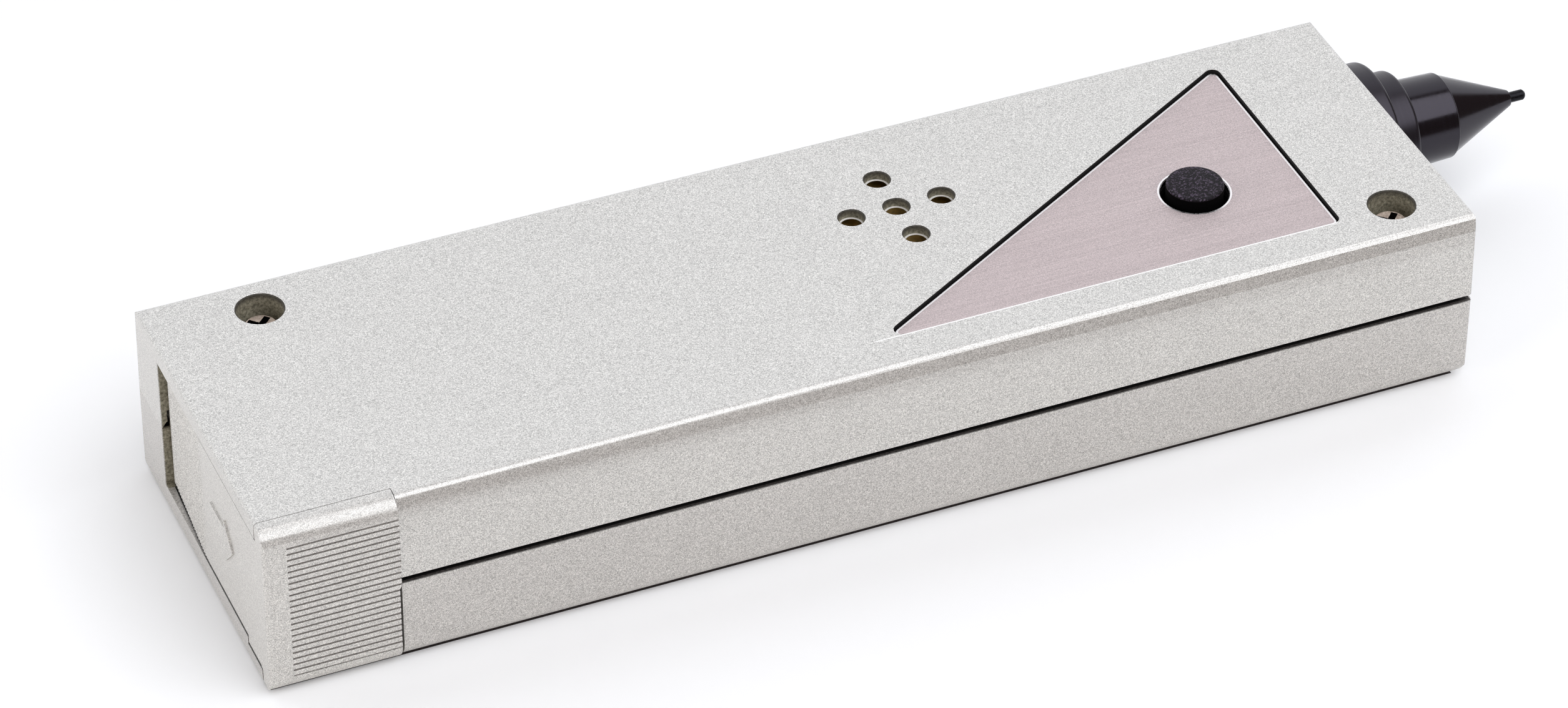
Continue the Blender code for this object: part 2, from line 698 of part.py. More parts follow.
def flared_hole(name, radius, place, low, sides=ROUND_SIDES):
    """Cutter for a round hole in the rear face whose rim is broken by a fine chamfer."""
    high = BODY_HEIGHT + OVERRUN
    flare = radius + RIM_CHAMFER + OVERRUN
    profile = [(0, high), (flare, high), (radius, BODY_HEIGHT - RIM_CHAMFER), (radius, low), (0, low)]
    return turned(name, profile, (*place, 0), UPRIGHT, sides)


def screw_post(place):
    """Rear shell post around one case screw."""
    return cylinder("screw_post", POST_RADIUS, place, REBATE_Z, ROOF_Z + WALL / 2, ROUND_SIDES)


def saddle(name, low_z, high_z):
    """A cross rib that holds the probe's sleeve."""
    low = (SADDLE_HEAD_X - SADDLE_THICKNESS, PROBE_Y - COLLAR_FLANGE_RADIUS, low_z)
    high = (SADDLE_HEAD_X, PROBE_Y + COLLAR_FLANGE_RADIUS, high_z)
    return box(name, low, high)


def probe_bar(name, radius, back, front, sides=ROUND_SIDES):
    """A round bar on the probe's axis, between two distances from the head face."""
    profile = [(0, front), (radius, front), (radius, back), (0, back)]
    return turned(name, profile, (HEAD_X, PROBE_Y, PROBE_Z), ALONG_X, sides)


def make_rear_shell():
    shell = casing_block("rear_shell")
    keep_within(shell, slab("rear_half", REAR_RIM_Z, BODY_HEIGHT + OVERRUN))
    cut(shell, section_prism("rear_cavity", WALL, TAIL_X + WALL, HEAD_X - WALL))
    skin = LIP_SETBACK - SEAT_GAP
    rebate = section_prism("rear_rebate", skin, TAIL_X + skin, HEAD_X - skin)
    keep_within(rebate, slab("rebate_slab", WALL, REBATE_Z))
    cut(shell, rebate)
    join(shell, *[screw_post(place) for place in SCREW_PLACES])
    join(shell, saddle("rear_saddle", REAR_RIM_Z, ROOF_Z + WALL / 2))
    add_sounder_ring(shell)
    add_button_guide(shell)
    cut_door_from_rear(shell)
    cut_screw_ways(shell)
    cut_rear_face(shell)
    cut(shell, probe_bar("rear_saddle_bore", COLLAR_BORE_RADIUS, -SADDLE_BORE_BACK, -WALL))
    cut(shell, probe_bar("rear_head_hole", HEAD_HOLE_RADIUS, -WALL - SEAT_GAP, OVERRUN))
    return publish(shell, "rear_shell", "silver_paint")


def add_sounder_ring(shell):
    """A ring under the roof that the sounder disc is glued to, round the thinner grille."""
    place = (SOUNDER_X, SOUNDER_FROM_MIDDLE)
    low = ROOF_Z - SOUNDER_RING_HEIGHT
    outer = circle(place, SOUNDER_RADIUS)
    join(shell, outline_solid("sounder_ring", [outer], low, ROOF_Z + WALL / 4))
    inner = circle(place, SOUNDER_RADIUS - SOUNDER_RING_WALL)
    cut(shell, outline_solid("grille_hollow", [inner], low - OVERRUN, BODY_HEIGHT - GRILLE_THICKNESS))


def add_button_guide(shell):
    """A ring under the roof that guides the button's flange."""
    place = (BUTTON_X, BUTTON_Y)
    inner_radius = CAP_FLANGE_RADIUS + SEAT_GAP
    outer = circle(place, inner_radius + GUIDE_WALL)
    inner = circle(place, inner_radius)
    join(shell, outline_solid("button_guide", [outer, inner], ROOF_Z - GUIDE_DEPTH, ROOF_Z + WALL / 4))


def cut_door_from_rear(shell):
    """The way for the door, and the groove in the roof that its upper tongue slides in."""
    cut(shell, door_way("rear_door_way", WALL, ROOF_Z), wing_way("rear_wing_way"))
    groove_low = (TAIL_X + SILL_SKIN, NEAR_Y - OVERRUN, ROOF_Z - OVERRUN)
    groove_high = (TAIL_X + WALL + SEAT_GAP, BAY_FAR_Y, ROOF_Z + DOOR_TONGUE_REACH + SEAT_GAP)
    cut(shell, box("door_groove", groove_low, groove_high))


def cut_screw_ways(shell):
    """Counterbores, shank holes and the hollows that take the front shell's bosses."""
    for place in SCREW_PLACES:
        recess = flared_hole("screw_recess", SCREW_RECESS_RADIUS, place, SCREW_SEAT_Z)
        shank = cylinder("shank_way", SCREW_SHANK_RADIUS + SEAT_GAP, place, REBATE_Z - OVERRUN, BODY_HEIGHT)
        hollow_top = SCREW_SEAT_Z - POST_WEB
        hollow = cylinder("boss_way", POST_HOLLOW_RADIUS, place, REBATE_Z - OVERRUN, hollow_top, ROUND_SIDES)
        cut(shell, recess, shank, hollow)


def cut_rear_face(shell):
    """Sound holes, the touch plate's pocket, and the holes for the button and the contact spring."""
    high = BODY_HEIGHT + OVERRUN
    for along, across in SOUND_HOLE_PATTERN_SHARES:
        place = (SOUNDER_X + along * SOUND_HOLE_PITCH, SOUNDER_FROM_MIDDLE + across * SOUND_HOLE_PITCH)
        cut(shell, flared_hole("sound_hole", SOUND_HOLE_RADIUS, place, ROOF_Z - OVERRUN / 4, HOLE_SIDES))
    cut(shell, outline_solid("pocket", [pocket_outline(0)], POCKET_Z, high))
    low = ROOF_Z - OVERRUN
    cut(shell, cylinder("button_hole", BUTTON_HOLE_RADIUS, (BUTTON_X, BUTTON_Y), low, high, ROUND_SIDES))
    cut(shell, cylinder("contact_hole", CONTACT_HOLE_RADIUS, (CONTACT_X, CONTACT_Y), low, high))


def make_front_shell():
    shell = casing_block("front_shell")
    keep_within(shell, slab("front_half", -OVERRUN, FRONT_RIM_HEIGHT))
    lip = section_prism("front_lip", LIP_SETBACK, TAIL_X + LIP_SETBACK, HEAD_X - LIP_SETBACK)
    keep_within(lip, slab("lip_slab", WALL, LIP_TOP_Z))
    join(shell, lip)
    cut(shell, section_prism("front_cavity", WALL, TAIL_X + WALL, HEAD_X - WALL))
    join(shell, *front_ribs())
    join(shell, *[boss(place) for place in SCREW_PLACES])
    join(shell, *[standoff(place) for place in STANDOFF_PLACES])
    cut_door_from_front(shell)
    cut_front_holes(shell)
    cut_windows(shell)
    cut(shell, probe_bar("front_saddle_bore", COLLAR_BORE_RADIUS, -SADDLE_BORE_BACK, -WALL))
    cut(shell, probe_bar("front_head_hole", HEAD_HOLE_RADIUS, -WALL - SEAT_GAP, OVERRUN))
    slot_radius = DIAL_RADIUS + DIAL_SLOT_GAP
    slot_low, slot_high = DIAL_Z - DIAL_SLOT_GAP, DIAL_TOP_Z + SEAT_GAP
    cut(shell, cylinder("dial_slot", slot_radius, (DIAL_X, DIAL_Y), slot_low, slot_high, ROUND_SIDES))
    return publish(shell, "front_shell", "silver_paint")


def front_ribs():
    """Bay rails and side ribs, the divider, the probe's saddle and the dial's pivot boss."""
    floor = WALL / 2
    rib_top = WALL + BAY_RIB_HEIGHT
    rail_top = WALL + BAY_RAIL_HEIGHT
    bay_tail_x = WING_X + SEAT_GAP + BAY_RIB_THICKNESS
    ribs = []
    for side in (-1, 1):
        rail_y = BATTERY_Y + side * BATTERY_WIDTH / 4
        rail_low = (TAIL_X + WALL + SEAT_GAP, rail_y, floor)
        ribs.append(box("bay_rail", rail_low, (BATTERY_HEAD_X, rail_y + BAY_RIB_THICKNESS, rail_top)))
        rib_y = BATTERY_Y + side * (BATTERY_WIDTH / 2 + SEAT_GAP + BAY_RIB_THICKNESS / 2)
        rib_low = (bay_tail_x, rib_y - BAY_RIB_THICKNESS / 2, floor)
        ribs.append(box("bay_rib", rib_low, (BATTERY_HEAD_X, rib_y + BAY_RIB_THICKNESS / 2, rib_top)))
    divider_low = (DIVIDER_X, NEAR_Y + WALL / 2, floor)
    divider_high = (DIVIDER_X + BAY_RIB_THICKNESS, FAR_Y - WALL / 2, rib_top)
    ribs.append(box("divider", divider_low, divider_high))
    ribs.append(saddle("front_saddle", floor, FRONT_RIM_HEIGHT))
    pivot_top = DIAL_Z - DIAL_PIVOT_HEIGHT - SEAT_GAP
    ribs.append(cylinder("pivot_boss", DIAL_PIVOT_RADIUS, (DIAL_X, DIAL_Y), floor, pivot_top))
    return ribs


def boss(place):
    """Front shell boss that one case screw bites in."""
    return cylinder("screw_boss", SCREW_RECESS_RADIUS, place, WALL / 2, BOSS_TOP_Z, ROUND_SIDES)


def standoff(place):
    """Pillar under one corner of the circuit board."""
    return cylinder("standoff", STANDOFF_RADIUS, place, WALL / 2, WALL + BOARD_LIFT)


def cut_door_from_front(shell):
    """The way for the door, over a sill that is lower near the wing and rebated for the lower tongue."""
    cut(shell, door_way("front_door_way", SILL_Z, LIP_TOP_Z + OVERRUN), wing_way("front_wing_way"))
    rebate_low = (TAIL_X + SILL_SKIN, NEAR_Y - OVERRUN, WALL)
    cut(shell, box("sill_rebate", rebate_low, (TAIL_X + WALL + SEAT_GAP, BAY_FAR_Y, SILL_Z + OVERRUN)))
    step_low = (TAIL_X - OVERRUN, NEAR_Y - OVERRUN, WALL)
    cut(shell, box("sill_step", step_low, (TAIL_X + WALL + SEAT_GAP, SILL_STEP_Y, SILL_Z + OVERRUN)))


def cut_front_holes(shell):
    """Blind holes for the case screws and the board screws."""
    for place in SCREW_PLACES:
        low = SCREW_HEAD_Z - SCREW_SHANK_LENGTH - SEAT_GAP
        cut(shell, cylinder("boss_hole", SCREW_SHANK_RADIUS + SEAT_GAP, place, low, BOSS_TOP_Z + OVERRUN))
    for place in STANDOFF_PLACES:
        low = BOARD_TOP_Z - BOARD_SCREW_LENGTH
        top = WALL + BOARD_LIFT + OVERRUN
        cut(shell, cylinder("standoff_hole", BOARD_SCREW_RADIUS + SEAT_GAP, place, low, top))


def scale_outline(spread):
    """The bar window's outline, grown by a spread."""
    half = SCALE_WIDTH / 2 + spread
    radius = WINDOW_CORNER
    return rounded_outline((SCALE_TAIL_X - spread, -half), (SCALE_HEAD_X + spread, half), radius, radius)


def result_outline(x, sides, spread):
    """A result window's outline: four sides for the diamond lozenge, many for the round one."""
    return circle((x, -RESULT_FROM_MIDDLE), RESULT_WINDOW_RADIUS + spread, sides)


def cut_windows(shell):
    for outline in window_outlines(0):
        cut(shell, outline_solid("window_way", [outline], -OVERRUN, WALL + OVERRUN / 2))


def window_outlines(spread):
    """The bar, the diamond lozenge and the round window, in that order."""
    lozenge = result_outline(DIAMOND_X, 4, spread * math.sqrt(2))
    return scale_outline(spread), lozenge, result_outline(MOISSANITE_X, SMALL_SIDES, spread)


def make_windows():
    """Lens pieces set just inside the front face, each with a flange behind the wall."""
    names = ("bar_window", "diamond_window", "moissanite_window")
    flange_z = WALL + SEAT_GAP
    for name, plug, flange in zip(names, window_outlines(-SEAT_GAP), window_outlines(WINDOW_FLANGE)):
        lens = outline_solid(name, [flange], flange_z, flange_z + WINDOW_FLANGE_THICKNESS)
        join(lens, outline_solid(name + "_plug", [plug], WINDOW_RECESS, flange_z + SEAT_GAP))
        publish(lens, name, "clear_window")


def make_lamps():
    """Lamps that hang from the board's underside by two legs, over their windows."""
    low = WALL + WINDOW_FLANGE_THICKNESS + 2 * SEAT_GAP
    top = low + LAMP_HEIGHT
    dome = [(LAMP_RADIUS * math.cos(a), low + LAMP_RADIUS * (1 - math.sin(a))) for a in (0, math.pi / 4)]
    profile = [(0, top), (LAMP_COLLAR_RADIUS, top), (LAMP_COLLAR_RADIUS, top - LAMP_COLLAR_HEIGHT)]
    profile += [(LAMP_RADIUS, top - LAMP_COLLAR_HEIGHT), *dome, (0, low)]
    lamp = turned("lamp", profile, (0, 0, 0), UPRIGHT, SMALL_SIDES // 2)
    for side in (-1, 1):
        x = side * LAMP_LEG_SPACING
        half = LAMP_LEG_WIDTH / 2
        leg_low = (x - half, -half, top - LAMP_COLLAR_HEIGHT / 2)
        join(lamp, box("lamp_leg", leg_low, (x + half, half, BOARD_Z - SEAT_GAP)))
    pitch = SCALE_LENGTH / SCALE_LAMP_COUNT
    row = [(SCALE_TAIL_X + pitch * (i + 1 / 2), 0, 0) for i in range(SCALE_LAMP_COUNT)]
    pair = [(x, -RESULT_FROM_MIDDLE, 0) for x in (DIAMOND_X, MOISSANITE_X)]
    copies(lamp, numbered("bar_lamp", SCALE_LAMP_COUNT), row, "clear_window")
    copies(lamp, ("diamond_lamp", "moissanite_lamp"), pair, "clear_window")


def make_battery_door():
    """End wall and wrapped near wing in one piece, slid on from the near side."""
    door = casing_block("battery_door", DOOR_PROUD)
    wrap_y = WRAP_Y - SEAT_GAP
    far_y = BAY_FAR_Y - SEAT_GAP
    low = (TAIL_X - OVERRUN, NEAR_Y - DOOR_PROUD - OVERRUN, -OVERRUN)
    keep_within(door, box("door_reach", low, (WING_X, far_y, BODY_HEIGHT + OVERRUN)))
    inner_x = TAIL_X + WALL
    beyond = (WING_X + OVERRUN, far_y + OVERRUN, BODY_HEIGHT + OVERRUN * 2)
    cut(door, box("door_inside", (inner_x, wrap_y, -OVERRUN * 2), beyond))
    roof_low = (TAIL_X - OVERRUN, wrap_y, ROOF_Z - SEAT_GAP)
    cut(door, box("door_over", roof_low, beyond))
    sill_high = (inner_x + OVERRUN, far_y + OVERRUN, SILL_Z + SEAT_GAP)
    cut(door, box("door_under", (TAIL_X - OVERRUN, SILL_STEP_Y - SEAT_GAP, -OVERRUN), sill_high))
    step_high = (inner_x + OVERRUN, SILL_STEP_Y + OVERRUN, WALL + SEAT_GAP)
    cut(door, box("door_under_step", (TAIL_X - OVERRUN, wrap_y, -OVERRUN), step_high))
    cut(door, grip_grooves(), thumb_recess(far_y))
    tongue_x = inner_x - DOOR_TONGUE_THICKNESS
    tongue_y = wrap_y - WALL / 4
    upper_low = (tongue_x, tongue_y, ROOF_Z - WALL / 2)
    join(door, box("upper_tongue", upper_low, (inner_x, far_y, ROOF_Z + DOOR_TONGUE_REACH)))
    lower_low = (tongue_x, tongue_y, WALL + SEAT_GAP)
    join(door, box("lower_tongue", lower_low, (inner_x, far_y, SILL_Z + WALL / 2)))
    join(door, door_arrow())
    return publish(door, "battery_door", "silver_paint")


def grip_grooves():
    """Fine grooves along the wing, as one cutter of separate wedges."""
    outer_y = NEAR_Y - DOOR_PROUD
    half = GRIP_GROOVE_WIDTH / 2
    wedge = [(outer_y - GRIP_DEPTH, -half * 2), (outer_y + GRIP_DEPTH, 0), (outer_y - GRIP_DEPTH, half * 2)]
    groove = outline_solid("grip_groove", [wedge], TAIL_X + GRIP_MARGIN, WING_X + OVERRUN, SECTION_YZ)
    first = BODY_HEIGHT / 2 - GRIP_PITCH * (GRIP_COUNT - 1) / 2
    offsets = [(0, 0, first + GRIP_PITCH * i) for i in range(GRIP_COUNT)]
    return repeated_cutter("grip_grooves", groove, offsets)


def thumb_recess(far_y):
    """A ramp down to the far end of the door, with fine upright ribs across it."""
    points = [(TAIL_X - OVERRUN, far_y - THUMB_LENGTH), (TAIL_X - OVERRUN, far_y + OVERRUN)]
    points.append((TAIL_X + THUMB_DEPTH, far_y + OVERRUN))
    pitch = THUMB_LENGTH / THUMB_RIB_COUNT
    for i in range(THUMB_RIB_COUNT):
        along = THUMB_LENGTH - pitch * i
        depth = THUMB_DEPTH * along / THUMB_LENGTH
        points.append((TAIL_X + depth, far_y - THUMB_LENGTH + along))
        middle = along - pitch / 2
        depth = THUMB_DEPTH * middle / THUMB_LENGTH - THUMB_RIB_DEPTH
        points.append((TAIL_X + depth, far_y - THUMB_LENGTH + middle))
    return outline_solid("thumb_recess", [points], -OVERRUN, BODY_HEIGHT + OVERRUN)


def door_arrow():
    """A raised arrow that points the way the door slides off."""
    tip_y = NEAR_Y + ARROW_TIP_FROM_NEAR
    neck_y = tip_y + ARROW_HEAD_LENGTH
    end_y = tip_y + ARROW_LENGTH
    head, shaft = ARROW_HEAD_WIDTH / 2, ARROW_SHAFT_WIDTH / 2
    half = [(tip_y, 0), (neck_y, -head), (neck_y, -shaft), (end_y, -shaft)]
    points = [(y, ARROW_HEIGHT + z) for y, z in half]
    points += [(y, ARROW_HEIGHT - z) for y, z in reversed(half[1:])]
    return outline_solid("door_arrow", [points], TAIL_X - ARROW_RELIEF, TAIL_X + WALL / 4, SECTION_YZ)


def make_touch_plate():
    """Thin metal triangle in its pocket, with the button's hole in it."""
    hole = circle((BUTTON_X, BUTTON_Y), BUTTON_HOLE_RADIUS)
    outlines = [pocket_outline(PLATE_SIDE_GAP), hole]
    plate = outline_solid("touch_plate", outlines, PLATE_Z, PLATE_Z + PLATE_THICKNESS)
    publish(plate, "touch_plate", "brushed_aluminium")


def screw_solid(name, head_radius, head_height, shank_radius, shank_length, head_z, sides):
    """A screw with a slightly domed head; its origin is on its axis."""
    top = head_z + head_height
    rim = top - head_height / 4
    crown = head_radius * 3 / 4
    end = head_z - shank_length
    point = end + shank_radius
    profile = [(0, top), (crown, top), (head_radius, rim), (head_radius, head_z)]
    profile += [(shank_radius, head_z), (shank_radius, point), (shank_radius / 3, end), (0, end)]
    screw = turned(name, profile, (0, 0, 0), UPRIGHT, sides)
    return screw


def make_case_screws():
    """Two cross-recessed screws down in their counterbores."""
    sizes = (SCREW_HEAD_RADIUS, SCREW_HEAD_HEIGHT, SCREW_SHANK_RADIUS, SCREW_SHANK_LENGTH, SCREW_HEAD_Z)
    screw = screw_solid("case_screw", *sizes, SMALL_SIDES)
    arm, half = CROSS_LENGTH / 2, CROSS_WIDTH / 2
    low, high = SCREW_HEAD_TOP_Z - CROSS_DEPTH, SCREW_HEAD_TOP_Z + OVERRUN
    cross = box("cross_arm", (-arm, -half, low), (arm, half, high))
    join(cross, box("cross_bar", (-half, -arm, low), (half, arm, high)))
    cut(screw, cross)
    places = [(x, y, 0) for x, y in SCREW_PLACES]
    copies(screw, ("case_screw_tail", "case_screw_head"), places, "brass")


def make_board():
    """Circuit board on four standoffs, with its screws."""
    low = (BOARD_TAIL_X, -BOARD_HALF_WIDTH, BOARD_Z)
    board = box("circuit_board", low, (BOARD_HEAD_X, BOARD_HALF_WIDTH, BOARD_TOP_Z))
    radius = BOARD_SCREW_RADIUS + SEAT_GAP
    for place in STANDOFF_PLACES:
        cut(board, cylinder("board_hole", radius, place, BOARD_Z - OVERRUN, BOARD_TOP_Z + OVERRUN))
    publish(board, "circuit_board", "board_green")
    sizes = (BOARD_SCREW_HEAD_RADIUS, BOARD_SCREW_HEAD_HEIGHT, BOARD_SCREW_RADIUS, BOARD_SCREW_LENGTH)
    screw = screw_solid("board_screw", *sizes, BOARD_TOP_Z + SEAT_GAP, SMALL_SIDES // 2)
    places = [(x, y, 0) for x, y in STANDOFF_PLACES]
    copies(screw, numbered("board_screw", len(places)), places, "steel")


def board_place(shares):
    """A place on the board from shares of its length and width."""
    return (BOARD_TAIL_X + shares[0] * BOARD_LENGTH, shares[1] * 2 * BOARD_HALF_WIDTH)


def make_board_parts():
    """Control chip with its legs, and three capacitors."""
    x, y = board_place(CHIP_PLACE_SHARES)
    length, width, height = CHIP_SIZE
    base = BOARD_TOP_Z + SEAT_GAP
    under = base + CHIP_LEG_SPREAD
    low_x, low_y = x - length / 2, y - width / 2
    high_x, high_y = x + length / 2, y + width / 2
    chip = box("control_chip", (low_x, low_y, under), (high_x, high_y, base + height))
    pitch = length / CHIP_LEG_COUNT
    for i in range(CHIP_LEG_COUNT):
        leg_x = low_x + pitch * (i + 1 / 2)
        leg_low = (leg_x - CHIP_LEG_WIDTH / 2, low_y - CHIP_LEG_SPREAD, base)
        leg_high = (leg_x + CHIP_LEG_WIDTH / 2, high_y + CHIP_LEG_SPREAD, base + height / 2)
        leg = box("chip_leg", leg_low, leg_high)
        gap_low = (leg_x - CHIP_LEG_WIDTH, low_y, base - OVERRUN)
        cut(leg, box("leg_gap", gap_low, (leg_x + CHIP_LEG_WIDTH, high_y, under + SEAT_GAP)))
        join(chip, leg)
    publish(chip, "control_chip", "black_plastic")
    top = base + CAPACITOR_HEIGHT
    edge = CAPACITOR_RADIUS - CAPACITOR_EDGE
    profile = [(0, top), (edge, top), (CAPACITOR_RADIUS, top - CAPACITOR_EDGE)]
    profile += [(CAPACITOR_RADIUS, base), (0, base)]
    capacitor = turned("capacitor", profile, (0, 0, 0), UPRIGHT, SMALL_SIDES)
    places = [(*board_place(shares), 0) for shares in CAPACITOR_PLACE_SHARES]
    copies(capacitor, numbered("capacitor", len(places)), places, "battery_wrap")


def make_button():
    """Button cap with a flange under the roof and a stem down to the switch."""
    switch_top = BOARD_TOP_Z + SEAT_GAP + SWITCH_HEIGHT
    plunger_top = switch_top + PLUNGER_STAND
    stem_low = plunger_top + SEAT_GAP
    flange_top = ROOF_Z - SEAT_GAP
    flange_low = flange_top - CAP_FLANGE_THICKNESS
    cap_top = BODY_HEIGHT + CAP_STAND
    profile = [(0, cap_top), (CAP_RADIUS - CAP_EDGE, cap_top), (CAP_RADIUS, cap_top - CAP_EDGE)]
    profile += [(CAP_RADIUS, flange_top), (CAP_FLANGE_RADIUS, flange_top), (CAP_FLANGE_RADIUS, flange_low)]
    profile += [(CAP_STEM_RADIUS, flange_low), (CAP_STEM_RADIUS, stem_low), (0, stem_low)]
    cap = turned("power_button", profile, (BUTTON_X, BUTTON_Y, 0))
    publish(cap, "power_button", "black_plastic")
    coil_low = switch_top + SEAT_GAP
    sizes = (BUTTON_COIL_RADIUS, BUTTON_WIRE_RADIUS, flange_low - SEAT_GAP - coil_low, BUTTON_TURNS)
    helix("button_spring", sizes, (BUTTON_X, BUTTON_Y, coil_low))
    make_switch(switch_top, plunger_top)


def make_switch(switch_top, plunger_top):
    """Push switch on the board, whose plunger moves with the button."""
    half = SWITCH_SIZE / 2
    low = (BUTTON_X - half, BUTTON_Y - half, BOARD_TOP_Z + SEAT_GAP)
    body = box("switch_body", low, (BUTTON_X + half, BUTTON_Y + half, switch_top))
    place = (BUTTON_X, BUTTON_Y)
    bore_low = switch_top - SWITCH_BORE_DEPTH
    cut(body, cylinder("switch_bore", PLUNGER_RADIUS + SEAT_GAP, place, bore_low, switch_top + OVERRUN))
    publish(body, "switch_body", "black_plastic")
    plunger = cylinder("switch_plunger", PLUNGER_RADIUS, place, plunger_top - PLUNGER_LENGTH, plunger_top)
    publish(plunger, "switch_plunger", "ceramic_white")


def make_sounder():
    """Brass disc glued under its ring, with the ceramic disc below it."""
    top = ROOF_Z - SOUNDER_RING_HEIGHT - SEAT_GAP
    place = (SOUNDER_X, SOUNDER_FROM_MIDDLE)
    disc = cylinder("sounder_disc", SOUNDER_RADIUS, place, top - SOUNDER_THICKNESS, top, ROUND_SIDES)
    publish(disc, "sounder_disc", "brass")
    high = top - SOUNDER_THICKNESS - SEAT_GAP
    low = high - SOUNDER_THICKNESS
    ceramic = cylinder("sounder_ceramic", CERAMIC_RADIUS, place, low, high, ROUND_SIDES)
    publish(ceramic, "sounder_ceramic", "ceramic_white")


def make_contact_spring():
    """Coil that joins the board to the touch plate."""
    low = BOARD_TOP_Z + SEAT_GAP
    sizes = (CONTACT_COIL_RADIUS, CONTACT_WIRE_RADIUS, PLATE_Z - SEAT_GAP - low, CONTACT_TURNS)
    helix("contact_spring", sizes, (CONTACT_X, CONTACT_Y, low))


def make_battery():
    """Square battery, its two snap terminals, and the snap connector."""
    half = BATTERY_WIDTH / 2
    radius = BATTERY_EDGE_RADIUS
    top = BATTERY_Z + BATTERY_THICKNESS
    section = rounded_outline((BATTERY_Y - half, BATTERY_Z), (BATTERY_Y + half, top), radius, radius)
    case = outline_solid("battery_case", [section], BATTERY_TAIL_X, BATTERY_HEAD_X - SEAT_GAP, SECTION_YZ)
    publish(case, "battery_case", "battery_wrap")
    base = BATTERY_HEAD_X
    tip = base + TERMINAL_HEIGHT
    stud = [(0, tip), (STUD_RADIUS, tip), (STUD_RADIUS, base), (0, base)]
    rim = SOCKET_RADIUS - SOCKET_WALL
    floor = base + SOCKET_WALL
    socket = [(rim, tip), (SOCKET_RADIUS, tip), (SOCKET_RADIUS, base), (0, base), (0, floor), (rim, floor)]
    for side, name, profile in ((-1, "battery_stud", stud), (1, "battery_socket", socket)):
        centre = (0, BATTERY_Y + side * TERMINAL_SPACING / 2, BATTERY_MID_Z)
        publish(turned(name, profile, centre, ALONG_X, SMALL_SIDES), name, "steel")
    make_snap()


def make_snap():
    """Connector plate in front of the terminals, from which the two leads leave."""
    half_y, half_z = BATTERY_WIDTH / 2 - SNAP_MARGIN, SNAP_WIDTH / 2
    low = (BATTERY_Y - half_y, BATTERY_MID_Z - half_z)
    high = (BATTERY_Y + half_y, BATTERY_MID_Z + half_z)
    section = rounded_outline(low, high, SNAP_CORNER_RADIUS, SNAP_CORNER_RADIUS)
    plate = outline_solid("battery_snap", [section], SNAP_TAIL_X, SNAP_HEAD_X, SECTION_YZ)
    publish(plate, "battery_snap", "black_plastic")


def make_leads():
    """Red and black battery leads over the divider, and the probe's two leads to the board."""
    start_x = SNAP_HEAD_X + SEAT_GAP
    board_z = BOARD_TOP_Z + SEAT_GAP + BATTERY_LEAD_RADIUS
    lead_z = max(BATTERY_MID_Z, WALL + BAY_RIB_HEIGHT + SEAT_GAP + 2 * BATTERY_LEAD_RADIUS)
    for name, side, material in (
        ("battery_lead_black", -1, "black_plastic"),
        ("battery_lead_red", 1, "red_insulation"),
    ):
        y = BATTERY_Y + side * TERMINAL_SPACING / 2
        crest = max(lead_z, board_z) + LEAD_SAG
        route = [
            (start_x, y, lead_z),
            (start_x + LEAD_BEND / 2, y, lead_z + LEAD_SAG / 2),
            (BOARD_TAIL_X, y, crest),
            (BOARD_TAIL_X + LEAD_BEND, y, board_z),
            (BOARD_TAIL_X + 2 * LEAD_BEND, y, board_z),
        ]
        lead(name, route, BATTERY_LEAD_RADIUS, material)
    back_x = HEAD_X - PROBE_BACK - SEAT_GAP
    end_z = BOARD_TOP_Z + SEAT_GAP + PROBE_LEAD_RADIUS
    for name, side in (("probe_lead_near", -1), ("probe_lead_far", 1)):
        y = PROBE_Y + side * PIN_ROD_RADIUS * 2
        route = [
            (back_x, y, PROBE_Z),
            (back_x - LEAD_BEND, y, PROBE_Z + LEAD_SAG / 2),
            (BOARD_HEAD_X + LEAD_BEND / 2, y, end_z + LEAD_SAG),
            (BOARD_HEAD_X - LEAD_BEND / 2, y, end_z),
            (BOARD_HEAD_X - LEAD_BEND, y, end_z),
        ]
        lead(name, route, PROBE_LEAD_RADIUS, "red_insulation")


def make_dial():
    """Knurled thumbwheel whose shaft turns in the potentiometer and whose pivot rests on its boss."""
    count = 2 * DIAL_TOOTH_COUNT
    rim = []
    for i in range(count):
        angle = 2 * math.pi * i / count
        radius = DIAL_RADIUS - DIAL_TOOTH_DEPTH * (i % 2)
        rim.append((DIAL_X + radius * math.cos(angle), DIAL_Y + radius * math.sin(angle)))
    place = (DIAL_X, DIAL_Y)
    dial = outline_solid("sensitivity_dial", [rim], DIAL_Z, DIAL_TOP_Z)
    shaft_top = POT_Z + POT_HEIGHT - SEAT_GAP
    join(dial, cylinder("dial_shaft", DIAL_SHAFT_RADIUS, place, DIAL_Z + DIAL_THICKNESS / 2, shaft_top))
    pivot_low = DIAL_Z - DIAL_PIVOT_HEIGHT
    join(dial, cylinder("dial_pivot", DIAL_SHAFT_RADIUS, place, pivot_low, DIAL_Z + DIAL_THICKNESS / 3))
    publish(dial, "sensitivity_dial", "black_plastic")
    half_x, half_y = POT_LENGTH / 2, POT_WIDTH / 2
    far_y = min(DIAL_Y + half_y, FAR_Y - WALL - SEAT_GAP)
    low = (DIAL_X - half_x, DIAL_Y - half_y, POT_Z)
    pot = box("dial_potentiometer", low, (DIAL_X + half_x, far_y, POT_Z + POT_HEIGHT))
    bore = cylinder("pot_bore", DIAL_SHAFT_RADIUS + SEAT_GAP, place, POT_Z - OVERRUN, BOARD_Z + OVERRUN)
    publish(cut(pot, bore), "dial_potentiometer", "steel")


